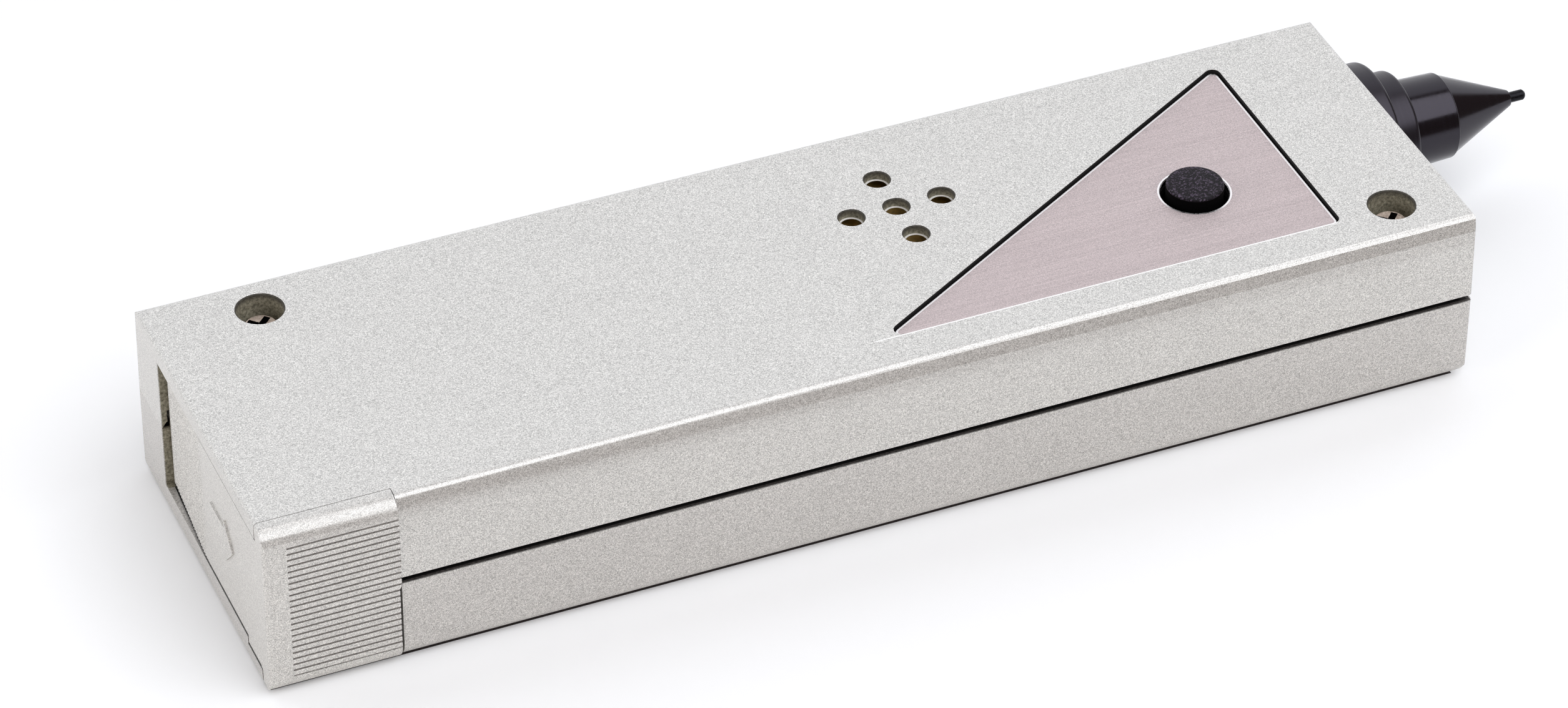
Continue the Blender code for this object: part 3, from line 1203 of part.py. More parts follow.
def probe_piece(name, profile, material, sides=ROUND_SIDES):
    """A turned probe piece; the profile gives radius and distance from the head face."""
    piece = turned(name, profile, (HEAD_X, PROBE_Y, PROBE_Z), ALONG_X, sides)
    return publish(piece, name, material)


def make_collar():
    """Spool that the shells clamp: two rings outside, a neck in the head wall and a flange inside."""
    ring_front = SEAT_GAP + COLLAR_RING_LENGTH
    neck_back = -WALL - SEAT_GAP
    profile = [(COLLAR_BORE_RADIUS, COLLAR_FRONT), (COLLAR_STEP_RADIUS - COLLAR_EDGE, COLLAR_FRONT)]
    profile += [(COLLAR_STEP_RADIUS, COLLAR_FRONT - COLLAR_EDGE)]
    profile += [(COLLAR_STEP_RADIUS, ring_front), (COLLAR_RING_RADIUS - COLLAR_EDGE, ring_front)]
    profile += [(COLLAR_RING_RADIUS, ring_front - COLLAR_EDGE), (COLLAR_RING_RADIUS, SEAT_GAP)]
    profile += [(COLLAR_NECK_RADIUS, SEAT_GAP), (COLLAR_NECK_RADIUS, neck_back)]
    profile += [(COLLAR_FLANGE_RADIUS, neck_back), (COLLAR_FLANGE_RADIUS, -COLLAR_BACK)]
    profile += [(COLLAR_BORE_RADIUS, -COLLAR_BACK)]
    probe_piece("probe_collar", profile, "black_plastic")


def make_sleeve():
    """Barrel whose tail runs back through the collar to the saddle."""
    barrel_back = COLLAR_FRONT + SEAT_GAP
    profile = [(SLEEVE_BORE_RADIUS, SLEEVE_FRONT), (SLEEVE_FRONT_RADIUS - SLEEVE_EDGE, SLEEVE_FRONT)]
    profile += [(SLEEVE_FRONT_RADIUS, SLEEVE_FRONT - SLEEVE_EDGE), (SLEEVE_ROOT_RADIUS, barrel_back)]
    profile += [(SLEEVE_TAIL_RADIUS, barrel_back), (SLEEVE_TAIL_RADIUS, -SLEEVE_TAIL)]
    profile += [(SLEEVE_BORE_RADIUS, -SLEEVE_TAIL)]
    probe_piece("probe_sleeve", profile, "black_plastic")


def make_nose():
    """Cone with a spigot in the sleeve and a fine bore for the pin."""
    bore = PIN_RADIUS + PIN_CLEARANCE
    base = SLEEVE_FRONT + SEAT_GAP
    spigot = SLEEVE_BORE_RADIUS - SEAT_GAP
    profile = [(bore, NOSE_FRONT), (NOSE_TIP_RADIUS, NOSE_FRONT), (NOSE_BASE_RADIUS, base)]
    profile += [(spigot, base), (spigot, SPIGOT_BACK), (bore, SPIGOT_BACK)]
    probe_piece("probe_nose", profile, "black_plastic")


def make_tip():
    """Sprung contact pin with its shoulder behind the nose and a rod inside the coil."""
    front = NOSE_FRONT + PIN_STAND
    back = SHOULDER_BACK - PIN_ROD_LENGTH
    profile = [(0, front), (PIN_RADIUS - PIN_EDGE, front), (PIN_RADIUS, front - PIN_EDGE)]
    profile += [(PIN_RADIUS, SHOULDER_FRONT), (PIN_SHOULDER_RADIUS, SHOULDER_FRONT)]
    profile += [(PIN_SHOULDER_RADIUS, SHOULDER_BACK), (PIN_ROD_RADIUS, SHOULDER_BACK)]
    profile += [(PIN_ROD_RADIUS, back), (0, back)]
    probe_piece("probe_tip", profile, "steel", SMALL_SIDES)
    coil_radius = (PIN_ROD_RADIUS + SLEEVE_BORE_RADIUS) / 2
    sizes = (coil_radius, PROBE_WIRE_RADIUS, PROBE_COIL_LENGTH, PROBE_TURNS)
    helix("probe_spring", sizes, (HEAD_X + COIL_BACK, PROBE_Y, PROBE_Z), ALONG_X)


def make_plug():
    """Plug that closes the sleeve's tail and backs the coil."""
    radius = SLEEVE_BORE_RADIUS - SEAT_GAP
    head_front = -SLEEVE_TAIL - SEAT_GAP
    profile = [(0, PLUG_FRONT), (radius, PLUG_FRONT), (radius, head_front), (SLEEVE_TAIL_RADIUS, head_front)]
    profile += [(SLEEVE_TAIL_RADIUS, -PROBE_BACK), (0, -PROBE_BACK)]
    probe_piece("probe_plug", profile, "black_plastic", SMALL_SIDES)


def make_diamond_tester():
    make_rear_shell()
    make_front_shell()
    make_windows()
    make_lamps()
    make_battery_door()
    make_touch_plate()
    make_case_screws()
    make_board()
    make_board_parts()
    make_button()
    make_sounder()
    make_contact_spring()
    make_battery()
    make_leads()
    make_dial()
    make_collar()
    make_sleeve()
    make_nose()
    make_tip()
    make_plug()


clear_scene()
PART = make_collection("diamond_tester")
CUTTERS = make_collection("construction_solids")
MATERIALS = {name: make_material(name) for name in FINISHES}
make_diamond_tester()
bpy.context.view_layer.update()
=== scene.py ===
"""Looks of the diamond tester: finishes, fine pieces, soft studio light and the camera.

Lengths are in metres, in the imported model's frame: X runs from the tail to the head, Y from the near
side to the far side, and Z up from the front face, which the tester lies on.
"""

import math

import bmesh
import bpy
from mathutils import Matrix, Vector


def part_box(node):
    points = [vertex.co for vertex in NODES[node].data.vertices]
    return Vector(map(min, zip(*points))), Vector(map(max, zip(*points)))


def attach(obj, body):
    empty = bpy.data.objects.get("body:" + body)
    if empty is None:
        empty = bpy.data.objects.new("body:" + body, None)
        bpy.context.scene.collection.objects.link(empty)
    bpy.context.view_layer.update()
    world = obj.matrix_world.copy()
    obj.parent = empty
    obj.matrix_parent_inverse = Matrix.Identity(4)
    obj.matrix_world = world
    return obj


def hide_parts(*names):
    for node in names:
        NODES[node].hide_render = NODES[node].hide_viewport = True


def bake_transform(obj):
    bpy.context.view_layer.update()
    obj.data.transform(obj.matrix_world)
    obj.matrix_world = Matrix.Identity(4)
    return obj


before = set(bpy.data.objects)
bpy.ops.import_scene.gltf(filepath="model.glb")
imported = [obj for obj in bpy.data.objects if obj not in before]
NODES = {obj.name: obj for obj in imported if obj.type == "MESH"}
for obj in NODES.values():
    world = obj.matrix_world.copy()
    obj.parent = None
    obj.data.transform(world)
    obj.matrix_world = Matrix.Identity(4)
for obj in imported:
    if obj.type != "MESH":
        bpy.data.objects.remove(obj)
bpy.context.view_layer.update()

# Camera, solved from the casing's straight edges
CAMERA_PLACE = (-0.20753, -0.47996, 0.41946)
CAMERA_AZIMUTH = math.radians(-23.053)
CAMERA_ELEVATION = math.radians(38.127)
CAMERA_ROLL = math.radians(0.251)
LENS = 140.006
SENSOR_WIDTH = 36.0
NEAREST_SEEN = 0.01
FARTHEST_SEEN = 20.0

# Studio
KEY_DIRECTION = (0.27, -0.47, 0.84)
KEY_DISTANCE = 0.9
KEY_SIZE = (1.1, 0.88)
KEY_POWER = 7.4
KEY_COLOUR = (0.95, 0.965, 1.0)
SIDE_DIRECTION = (-0.93, -0.15, 0.34)
SIDE_DISTANCE = 0.9
SIDE_SIZE = (0.5, 0.4)
SIDE_POWER = 2.1
SIDE_COLOUR = (1.0, 0.985, 0.97)
BACKDROP_LIGHT = (1.08, 1.085, 1.12)
STUDIO_DARK = (0.16, 0.12, 0.10)
BACKDROP_FROM = 0.17
BACKDROP_TO = 0.31
FLOOR_SIZE = 6.0
FLOOR_COLOUR = (0.975, 0.992, 1.0)
FLOOR_GLOW = (0.85, 1.0, 1.25)
FLOOR_LIFT = 0.02
FLOOR_ROUGH = 0.7
FLOOR_SHINE = 0.1
FLOOR_BOUNCE_COLOUR = (0.96, 0.91, 0.86)
FLOOR_DROP = 0.00003
CONTACT_TAIL_INSET = 0.00042
CONTACT_SIDE_INSET = 0.00118
# A painted contact shadow under the tester.
PAINTED_CONTACT_SHADOW = (0.06, 0.05, 0.05)
# Where the floor, in reflections only, is painted dimmer towards the near side.
REFLECTION_DIM_FROM_Y = -0.04
REFLECTION_DIM_TO_Y = -0.19

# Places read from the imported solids
REAR_LOW, REAR_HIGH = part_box("rear_shell")
DOOR_LOW, DOOR_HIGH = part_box("battery_door")
PLATE_LOW, PLATE_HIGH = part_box("touch_plate")
BUTTON_LOW, BUTTON_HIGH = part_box("power_button")
COLLAR_LOW, COLLAR_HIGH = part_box("probe_collar")
SOUNDER_LOW, SOUNDER_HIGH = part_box("sounder_disc")
TAIL_X, HEAD_X = REAR_LOW.x, REAR_HIGH.x
NEAR_Y, FAR_Y = REAR_LOW.y, REAR_HIGH.y
TOP_Z = REAR_HIGH.z
PARTING_Z = 0.01065
REAR_RIM_Z = 0.0115
SILL_LOW_Z = 0.002
SILL_HIGH_Z = 0.003
SEAT_GAP = 0.0003
ROOF_Z = 0.0197
POCKET_Z = 0.0205
BUTTON_PLACE = (BUTTON_LOW + BUTTON_HIGH) / 2
PROBE_AXIS = (0.0, (COLLAR_LOW.y + COLLAR_HIGH.y) / 2, (COLLAR_LOW.z + COLLAR_HIGH.z) / 2)

# Steps round turned and rounded shapes, and how meshes are rounded and smoothed
FINE_SIDES = 112
HOLE_SIDES = 48
EDGE_STEPS = 4
CORNER_STEPS = 10
SMOOTH_ANGLE = math.radians(32)
WELD_DISTANCE = 0.000002
STRONG_FACE_WEIGHT = 100
EASE_SHARE = 0.45

# Touch plate: the three corners that its outline would have without rounding, and its edges
PLATE_GAP = 0.0003
PLATE_FINE_GAP = 0.0002
POCKET_LENGTH = 0.0553
POCKET_WIDTH = 0.0317
PLATE_CORNER_RADIUS = 0.0009
PLATE_BEVEL = 0.0001
# The bevel and a band this wide on the plate's top take a near-white metal: a painted highlight.
PLATE_HIGHLIGHT_BAND = 0.0002
PLATE_SHADED_WALL_SLOT = 1
PLATE_HIGHLIGHT_SLOT = 2
BUTTON_HOLE_RADIUS = 0.0038

# Button cap
CAP_RADIUS = 0.0032
CAP_FLANGE_RADIUS = 0.0045
CAP_FLANGE_TOP_Z = 0.0194
CAP_FLANGE_LOW_Z = 0.0186
CAP_STEM_RADIUS = 0.0017
CAP_EDGE = 0.00022

# Case screws: radius and height of the head, recess and shank
SCREW_HEAD_RADIUS = 0.0019
SCREW_CROWN_RADIUS = 0.00175
SCREW_HEAD_HEIGHT = 0.0014
SCREW_SHANK_RADIUS = 0.0011
CROSS_REACH = 0.0016
CROSS_HALF_WIDTH = 0.00038
CROSS_FLOOR_SHARE = 0.5
CROSS_DEPTH = 0.0008

# Probe profiles: radius, and distance from the head face
COLLAR_PROFILE = (
    (0.0040, 0.0069), (0.0066, 0.0069), (0.0066, 0.0038), (0.0083, 0.0038), (0.0083, 0.0003),
    (0.0056, 0.0003), (0.0056, -0.0023), (0.0074, -0.0023), (0.0074, -0.0043), (0.0040, -0.0043),
)
SLEEVE_PROFILE = (
    (0.0022, 0.0126), (0.0050, 0.0126), (0.0052, 0.00695), (0.0037, 0.00695), (0.0037, -0.0082),
    (0.0022, -0.0082),
)
NOSE_PROFILE = (
    (0.00072, 0.0213), (0.00095, 0.0213), (0.00482, 0.01263), (0.0019, 0.01263), (0.0019, 0.0098),
    (0.00072, 0.0098),
)
TIP_PROFILE = (
    (0.0, 0.0234), (0.00040, 0.0234), (0.00062, 0.02314), (0.00062, 0.0095), (0.0019, 0.0095),
    (0.0019, 0.0082), (0.0008, 0.0082), (0.0008, 0.0022), (0.0, 0.0022),
)
COLLAR_EDGE = 0.0005
SLEEVE_EDGE = 0.00016
NOSE_EDGE = 0.00006
TIP_EDGE = 0.00003

# Sound holes and the pale lip at the foot of each
SOUND_HOLE_RADIUS = 0.00145
SOUND_HOLE_PITCH = 0.00535
SOUND_HOLE_PATTERN = ((0, 0), (1, 0), (-1, 0), (0, 1), (0, -1))
GRILLE_Z = 0.0206
LIP_INNER_RADIUS = 0.00122
LIP_THICKNESS = 0.00008

# Door edges, brought nearer to the casing than the solids' clearance
DOOR_CLOSE = 0.00022
DOOR_WRAP_Y = -0.01895
DOOR_END_TOP_Z = 0.0194
DOOR_OUTER_SKIN = 0.00115
NEAR_ENOUGH = 0.00002

# Rear shell's long top edges: a tight round that runs out into a slow one
LONG_TOP_RADIUS = 0.0022
TIGHT_RADIUS = 0.00105
SLOW_RADIUS = 0.006
ROUND_CHANGE = math.radians(60)
UPRIGHT_RADIUS = 0.0006
PIER_CORNER = 0.00055


# Shader helpers

NOISE_LOW = 0.3
NOISE_HIGH = 0.7


def new_material(name):
    """An empty node material and its tree."""
    material = bpy.data.materials.new(name)
    material.use_nodes = True
    material.node_tree.nodes.clear()
    return material, material.node_tree


def add(tree, kind, inputs=(), **settings):
    """Add a node, set its properties, and give its inputs values or links, from a dict or pairs."""
    made = tree.nodes.new(kind)
    for key, value in settings.items():
        setattr(made, key, value)
    for key, value in dict(inputs).items():
        if isinstance(value, bpy.types.NodeSocket):
            tree.links.new(value, made.inputs[key])
        else:
            made.inputs[key].default_value = value
    return made


def maths(tree, operation, *values):
    """A Math node's result."""
    return add(tree, "ShaderNodeMath", enumerate(values), operation=operation).outputs[0]


def object_place(tree):
    return add(tree, "ShaderNodeTexCoord").outputs["Object"]


def stretched(tree, vector, scale):
    """A vector scaled along each axis."""
    return add(tree, "ShaderNodeVectorMath", {0: vector, 1: scale}, operation="MULTIPLY").outputs[0]


def noise(tree, vector, scale, detail, rough):
    """Noise whose values mostly lie between NOISE_LOW and NOISE_HIGH."""
    inputs = {"Vector": vector, "Scale": scale, "Detail": detail, "Roughness": rough}
    return add(tree, "ShaderNodeTexNoise", inputs).outputs["Fac"]


def spread(tree, value, low, high, to_low=0.0, to_high=1.0):
    """A value mapped from one range to another, and held inside it."""
    inputs = {0: value, 1: low, 2: high, 3: to_low, 4: to_high}
    return add(tree, "ShaderNodeMapRange", inputs).outputs[0]


def varied(tree, value, low, high):
    """Noise mapped from its usual range to another."""
    return spread(tree, value, NOISE_LOW, NOISE_HIGH, low, high)


def blend_colours(tree, share, first, second):
    """The first colour where the share is 0 and the second where it is 1."""
    inputs = {0: share, 6: first, 7: second}
    return add(tree, "ShaderNodeMix", inputs, data_type="RGBA").outputs[2]


def tint(tree, colour, factor):
    """A colour made lighter or darker by a grey factor."""
    grey = add(tree, "ShaderNodeCombineColor", {0: factor, 1: factor, 2: factor}).outputs[0]
    inputs = {0: 1.0, 6: colour, 7: grey}
    return add(tree, "ShaderNodeMix", inputs, data_type="RGBA", blend_type="MULTIPLY").outputs[2]


def bump(tree, height, distance, strength):
    """A normal from a height; the distance is the relief's depth in metres."""
    inputs = {"Height": height, "Distance": distance, "Strength": strength}
    return add(tree, "ShaderNodeBump", inputs).outputs[0]


def shader(tree, inputs):
    """A Principled shader on the material's output."""
    surface = add(tree, "ShaderNodeBsdfPrincipled", inputs)
    add(tree, "ShaderNodeOutputMaterial", {"Surface": surface.outputs[0]})


def rgba(colour):
    return (*colour, 1.0)


def inside_box(tree, place, low, high):
    """1 where a place lies inside a box, 0 outside it."""
    low, high = Vector(low), Vector(high)
    centre, half = (low + high) / 2, (high - low) / 2
    offset = add(tree, "ShaderNodeVectorMath", {0: place, 1: centre}, operation="SUBTRACT").outputs[0]
    size = add(tree, "ShaderNodeVectorMath", {0: offset}, operation="ABSOLUTE").outputs[0]
    excess = add(tree, "ShaderNodeVectorMath", {0: size, 1: half}, operation="SUBTRACT").outputs[0]
    parts = add(tree, "ShaderNodeSeparateXYZ", {0: excess}).outputs
    largest = maths(tree, "MAXIMUM", maths(tree, "MAXIMUM", parts[0], parts[1]), parts[2])
    return maths(tree, "LESS_THAN", largest, 0.0)


# Finishes: colours, the scales of their grains, and the depths of their relief

PAINT_COLOUR = (0.656, 0.654, 0.634)
# The front shell's paint is a darker copy of the rear's: painted shade on the lower half's sides.
PAINT_SHADED_COLOUR = (0.600, 0.591, 0.573)
PAINT_GRAIN_SCALE = 11500.0
PAINT_FLAKE_SCALE = 9000.0
PAINT_MOTTLE_SCALE = 90.0
PAINT_GRAIN_DARKEST = 0.56
PAINT_GRAIN_LIGHTEST = 1.38
PAINT_MOTTLE = 0.01
PAINT_FLAKE = 0.2
PAINT_ROUGH_SPAN = 0.14
PAINT_BUMP = 0.000008
BARE_ROUGH = 0.7

# Bare plastic, which is darker near the top face; a shaded copy of it and a near black are painted shade
# further into the gaps
RAW_COLOUR = (0.11, 0.102, 0.072)
RAW_LIGHT_COLOUR = (0.42, 0.395, 0.30)
RAW_GRAIN_SCALE = 3200.0
RAW_GRAIN_RANGE = (0.35, 0.68)
SHADED_COLOUR = (0.016, 0.014, 0.013)
SHADED_LIGHT_COLOUR = (0.12, 0.108, 0.10)
# Near black painted as shade and shadow in gaps, round the plate, on the sill, round the button and in
# recesses.
PAINTED_SHADE_BLACK = (0.0014, 0.0013, 0.0015)
RIM_DARK_FROM = 0.0009
RIM_DARK_TO = 0.00012
RIM_DARK = 0.85

# Where bare plastic, the painted shadow lines and the painted highlight on the pocket's rim begin and end
INNER_MARGIN = 0.0001
RIM_MARGIN = 0.00003
INNER_SIDE_MARGIN = 0.0025
INNER_END_MARGIN = 0.0011
LEDGE_MARGIN = 0.00014
LEDGE_LIT_DEPTH = 0.00048
PIER_NEAR_Y = 0.0122
PIER_FAR_Y = 0.0132
SILL_LIP = 0.0001
SILL_LINE = 0.0002
THUMB_LENGTH = 0.0145
THUMB_DEPTH = 0.001
SILL_STEP_Y = NEAR_Y + 0.0068
SEAM_LINE = 0.00018
# A near-white line along the pocket's near rim: a painted highlight.
RIM_WIDTH = 0.00014
RIM_HIGHLIGHT_COLOUR = (0.95, 0.95, 0.94)
BUTTON_WELL_MARGIN = 0.00003

# Grooves of the door's wing, whose faces are darkened as painted shade
GROOVE_SHADE_COLOUR = (0.30, 0.285, 0.27)
GROOVE_FROM_TAIL = 0.0025
GROOVE_LOW_Z = 0.0022
GROOVE_HIGH_Z = 0.01948

# Touch plate, probe, plastics, board, battery and lenses
FINE_BUMP = 0.000006
PLATE_COLOUR = (0.532, 0.462, 0.466)
PLATE_STREAKS = (60.0, 9000.0, 60.0)
PLATE_BROAD_STREAKS = (12.0, 900.0, 12.0)
PLATE_SPECK_SCALE = 9000.0
PLATE_STREAK_TONES = (0.88, 1.12)
PLATE_SPECK_TONES = (-0.26, 0.26)
PLATE_BROAD_TONES = (-0.02, 0.02)
PLATE_ROUGH_RANGE = (0.42, 0.55)
PLATE_METAL = 0.45
BLACK_TONES = (0.6, 1.5)
FLECKS_PER_GRAIN = 1.5
FLECK_FROM = 0.6
PROBE_COLOUR = (0.0030, 0.0024, 0.0038)
PROBE_SHEEN = (0.90, 0.84, 1.0)
PROBE_GRAIN_SCALE = 5000.0
PROBE_GRAIN_SHARE = 0.25
PROBE_TONES = (0.7, 1.4)
PLASTIC_GRAIN_SCALE = 3000.0
PLASTIC_VARIATION = 0.08
RESIST_COLOUR = (0.010, 0.105, 0.040)
TRACE_COLOUR = (0.022, 0.190, 0.075)
PAD_COLOUR = (0.62, 0.62, 0.60)
TRACE_SCALE = 420.0
PAD_SCALE = 230.0
TRACE_EDGE = (0.30, 0.33)
PAD_EDGE = (0.16, 0.13)
BOARD_BUMP = 0.00002
JACKET_COLOUR = (0.018, 0.020, 0.024)
JACKET_GRAIN_SCALE = 2200.0
JACKET_BUMP = 0.000008
BAND_COLOUR = (0.52, 0.27, 0.12)
BAND_SHARE = 0.28
BAND_BLUR = 0.0002
LENS_HAZE_SCALE = 800.0
LENS_BUMP = 0.00001


def inside_any(tree, place, boxes):
    """1 where a place lies inside at least one box."""
    mask = inside_box(tree, place, *boxes[0])
    for low, high in boxes[1:]:
        mask = maths(tree, "MAXIMUM", mask, inside_box(tree, place, low, high))
    return mask


def gap_box(depth):
    """The parting gap further in than a depth."""
    low = (TAIL_X + depth, NEAR_Y + depth, PARTING_Z - INNER_MARGIN)
    high = (HEAD_X - depth, FAR_Y - depth, REAR_RIM_Z + INNER_MARGIN)
    return low, high


PIER_BOX = (
    (TAIL_X + INNER_MARGIN, PIER_NEAR_Y, SILL_LOW_Z),
    (TAIL_X + INNER_END_MARGIN * 2, PIER_FAR_Y, ROOF_Z),
)
# The gap on the sill, painted near black as shadow behind a light lip.
SILL_GAP_BOX = (
    (TAIL_X + SILL_LIP, NEAR_Y + INNER_SIDE_MARGIN, SILL_LOW_Z - INNER_MARGIN),
    (TAIL_X + INNER_END_MARGIN * 2, PIER_NEAR_Y, SILL_HIGH_Z + SEAT_GAP + INNER_MARGIN),
)
# Painted shadow: a near black line along the door's foot, just above the sill.
DOOR_SEAM_SHADOW_BOXES = (
    (
        (TAIL_X - INNER_MARGIN, SILL_STEP_Y - SEAT_GAP, SILL_HIGH_Z),
        (TAIL_X + INNER_END_MARGIN * 2, PIER_NEAR_Y, SILL_HIGH_Z + SEAT_GAP + SEAM_LINE),
    ),
    (
        (TAIL_X - INNER_MARGIN, NEAR_Y + INNER_SIDE_MARGIN, SILL_LOW_Z),
        (TAIL_X + INNER_END_MARGIN * 2, SILL_STEP_Y, SILL_LOW_Z + SEAT_GAP + SEAM_LINE),
    ),
)
INSIDE_BOX = (
    (TAIL_X + INNER_END_MARGIN, NEAR_Y + INNER_SIDE_MARGIN, INNER_MARGIN),
    (HEAD_X - INNER_END_MARGIN, FAR_Y - INNER_SIDE_MARGIN, TOP_Z - RIM_MARGIN),
)
POCKET_TAIL_X = PLATE_HIGH.x + PLATE_GAP - POCKET_LENGTH
POCKET_NEAR_Y = PLATE_LOW.y - PLATE_GAP
# Painted highlight: the strip of the pocket's near rim that turns near white.
POCKET_RIM_HIGHLIGHT_BOX = (
    (POCKET_TAIL_X, POCKET_NEAR_Y - RIM_WIDTH, TOP_Z - INNER_MARGIN / 2),
    (PLATE_HIGH.x - PLATE_GAP, POCKET_NEAR_Y + NEAR_ENOUGH, TOP_Z + INNER_MARGIN),
)
UNDER_PLATE_BOX = (
    (PLATE_LOW.x - PLATE_GAP * 2, PLATE_LOW.y - PLATE_GAP * 2, POCKET_Z - INNER_MARGIN),
    (PLATE_HIGH.x + PLATE_GAP * 2, PLATE_HIGH.y + PLATE_GAP * 2, TOP_Z),
)


def sill_gap(tree, place):
    """1 in the gap on the sill, behind a light lip that widens where the thumb recess draws back."""
    parts = add(tree, "ShaderNodeSeparateXYZ", {0: place}).outputs
    lip = spread(tree, parts[1], DOOR_HIGH.y - THUMB_LENGTH, DOOR_HIGH.y, SILL_LIP, THUMB_DEPTH - SILL_LINE)
    behind = maths(tree, "GREATER_THAN", parts[0], maths(tree, "ADD", lip, TAIL_X))
    return maths(tree, "MULTIPLY", behind, inside_box(tree, place, *SILL_GAP_BOX))


def under_plate(tree, place):
    """1 in the pocket round and below the touch plate, out to its sloping wall."""
    tail = Vector((POCKET_TAIL_X, POCKET_NEAR_Y, 0.0))
    slope = Vector((-POCKET_WIDTH, POCKET_LENGTH, 0.0)).normalized()
    out = add(tree, "ShaderNodeVectorMath", {0: place, 1: slope}, operation="DOT_PRODUCT").outputs["Value"]
    near = maths(tree, "LESS_THAN", out, slope.dot(tail) + PLATE_GAP)
    return maths(tree, "MULTIPLY", near, inside_box(tree, place, *UNDER_PLATE_BOX))


def inner_mask(tree, place):
    """1 on the casing's unpainted inside: under its face, in the parting gap and at the door's end."""
    mask = inside_any(tree, place, [INSIDE_BOX, gap_box(LEDGE_MARGIN), PIER_BOX])
    return maths(tree, "MAXIMUM", mask, sill_gap(tree, place))


def button_well_mask(tree, place):
    """1 on the wall of the hole round the button."""
    centre = (BUTTON_PLACE.x, BUTTON_PLACE.y, 0.0)
    offset = add(tree, "ShaderNodeVectorMath", {0: place, 1: centre}, operation="SUBTRACT").outputs[0]
    flat = stretched(tree, offset, (1.0, 1.0, 0.0))
    away = add(tree, "ShaderNodeVectorMath", {0: flat}, operation="LENGTH").outputs["Value"]
    return maths(tree, "LESS_THAN", away, BUTTON_HOLE_RADIUS + BUTTON_WELL_MARGIN)


def unpainted(tree, place):
    """Mottled olive-grey bare plastic, darker near the top face, with painted shade: a shaded copy in the
    outer gaps and near black further in.
    """
    grain = spread(tree, noise(tree, place, RAW_GRAIN_SCALE, 4.0, 0.7), *RAW_GRAIN_RANGE)
    raw = blend_colours(tree, grain, rgba(RAW_COLOUR), rgba(RAW_LIGHT_COLOUR))
    shaded = blend_colours(tree, grain, rgba(SHADED_COLOUR), rgba(SHADED_LIGHT_COLOUR))
    height = add(tree, "ShaderNodeSeparateXYZ", {0: place}).outputs[2]
    rim = spread(tree, height, TOP_Z - RIM_DARK_FROM, TOP_Z - RIM_DARK_TO, 0.0, RIM_DARK)
    raw = blend_colours(tree, rim, raw, rgba(SHADED_COLOUR))
    # Painted shade: a shaded copy in the parting gap.
    off_pier = maths(tree, "SUBTRACT", 1.0, inside_box(tree, place, *PIER_BOX))
    gap = maths(tree, "MULTIPLY", off_pier, inside_box(tree, place, *gap_box(LEDGE_MARGIN)))
    raw = blend_colours(tree, gap, raw, shaded)
    # Painted shadow: near black further into the parting gap, round the plate, on the sill and round the
    # button.
    painted_shadow = maths(tree, "MULTIPLY", off_pier, inside_box(tree, place, *gap_box(LEDGE_LIT_DEPTH)))
    painted_shadow = maths(tree, "MAXIMUM", painted_shadow, under_plate(tree, place))
    painted_shadow = maths(tree, "MAXIMUM", painted_shadow, sill_gap(tree, place))
    painted_shadow = maths(tree, "MAXIMUM", painted_shadow, button_well_mask(tree, place))
    return blend_colours(tree, painted_shadow, raw, rgba(PAINTED_SHADE_BLACK))


def groove_mask(tree, place):
    """1 down in the grooves of the door's wing."""
    low = (TAIL_X + GROOVE_FROM_TAIL, DOOR_LOW.y + NEAR_ENOUGH * 2, GROOVE_LOW_Z)
    high = (DOOR_HIGH.x + DOOR_CLOSE * 2, NEAR_Y + INNER_MARGIN, GROOVE_HIGH_Z)
    return inside_box(tree, place, low, high)


def paint(name, colour, inner=True, metallic=0.5, rough_low=0.28):
    """Satin silver paint with a fine grain, bare inside a shell, with painted shade in a shell's gaps and
    the door's grooves and seams, and a painted highlight on the pocket's near rim.
    """
    material, tree = new_material(name)
    place = object_place(tree)
    grain = noise(tree, place, PAINT_GRAIN_SCALE, 2.0, 0.6)
    mottle = noise(tree, place, PAINT_MOTTLE_SCALE, 2.0, 0.5)
    flakes = add(tree, "ShaderNodeTexVoronoi", {"Vector": place, "Scale": PAINT_FLAKE_SCALE})
    flake = add(tree, "ShaderNodeSeparateColor", {0: flakes.outputs["Color"]}).outputs[0]
    light = varied(tree, grain, PAINT_GRAIN_DARKEST, PAINT_GRAIN_LIGHTEST)
    light = maths(tree, "ADD", light, varied(tree, mottle, -PAINT_MOTTLE, PAINT_MOTTLE))
    light = maths(tree, "ADD", light, spread(tree, flake, 0.0, 1.0, -PAINT_FLAKE, PAINT_FLAKE))
    painted = tint(tree, rgba(colour), light)
    rough = spread(tree, flake, 0.0, 1.0, rough_low, rough_low + PAINT_ROUGH_SPAN)
    if inner:
        mask = inner_mask(tree, place)
        # Painted highlight along the pocket's near rim.
        painted = blend_colours(tree, inside_box(tree, place, *POCKET_RIM_HIGHLIGHT_BOX), painted, rgba(RIM_HIGHLIGHT_COLOUR))
        painted = blend_colours(tree, mask, painted, unpainted(tree, place))
    else:
        mask = groove_mask(tree, place)
        # Painted shade: the grooves' faces take a darker grey.
        painted = blend_colours(tree, mask, painted, tint(tree, rgba(GROOVE_SHADE_COLOUR), light))
        # Painted shadow along the seam at the door's foot.
        under = inside_any(tree, place, DOOR_SEAM_SHADOW_BOXES)
        painted = blend_colours(tree, under, painted, rgba(PAINTED_SHADE_BLACK))
        mask = maths(tree, "MAXIMUM", mask, under)
    rough = maths(tree, "MAXIMUM", rough, maths(tree, "MULTIPLY", mask, BARE_ROUGH))
    metal = spread(tree, mask, 0.0, 1.0, metallic, 0.0)
    height = maths(tree, "ADD", grain, maths(tree, "MULTIPLY", flake, 0.5))
    normal = bump(tree, height, PAINT_BUMP, 0.5)
    shader(tree, {"Base Color": painted, "Roughness": rough, "Metallic": metal, "Normal": normal})
    return material


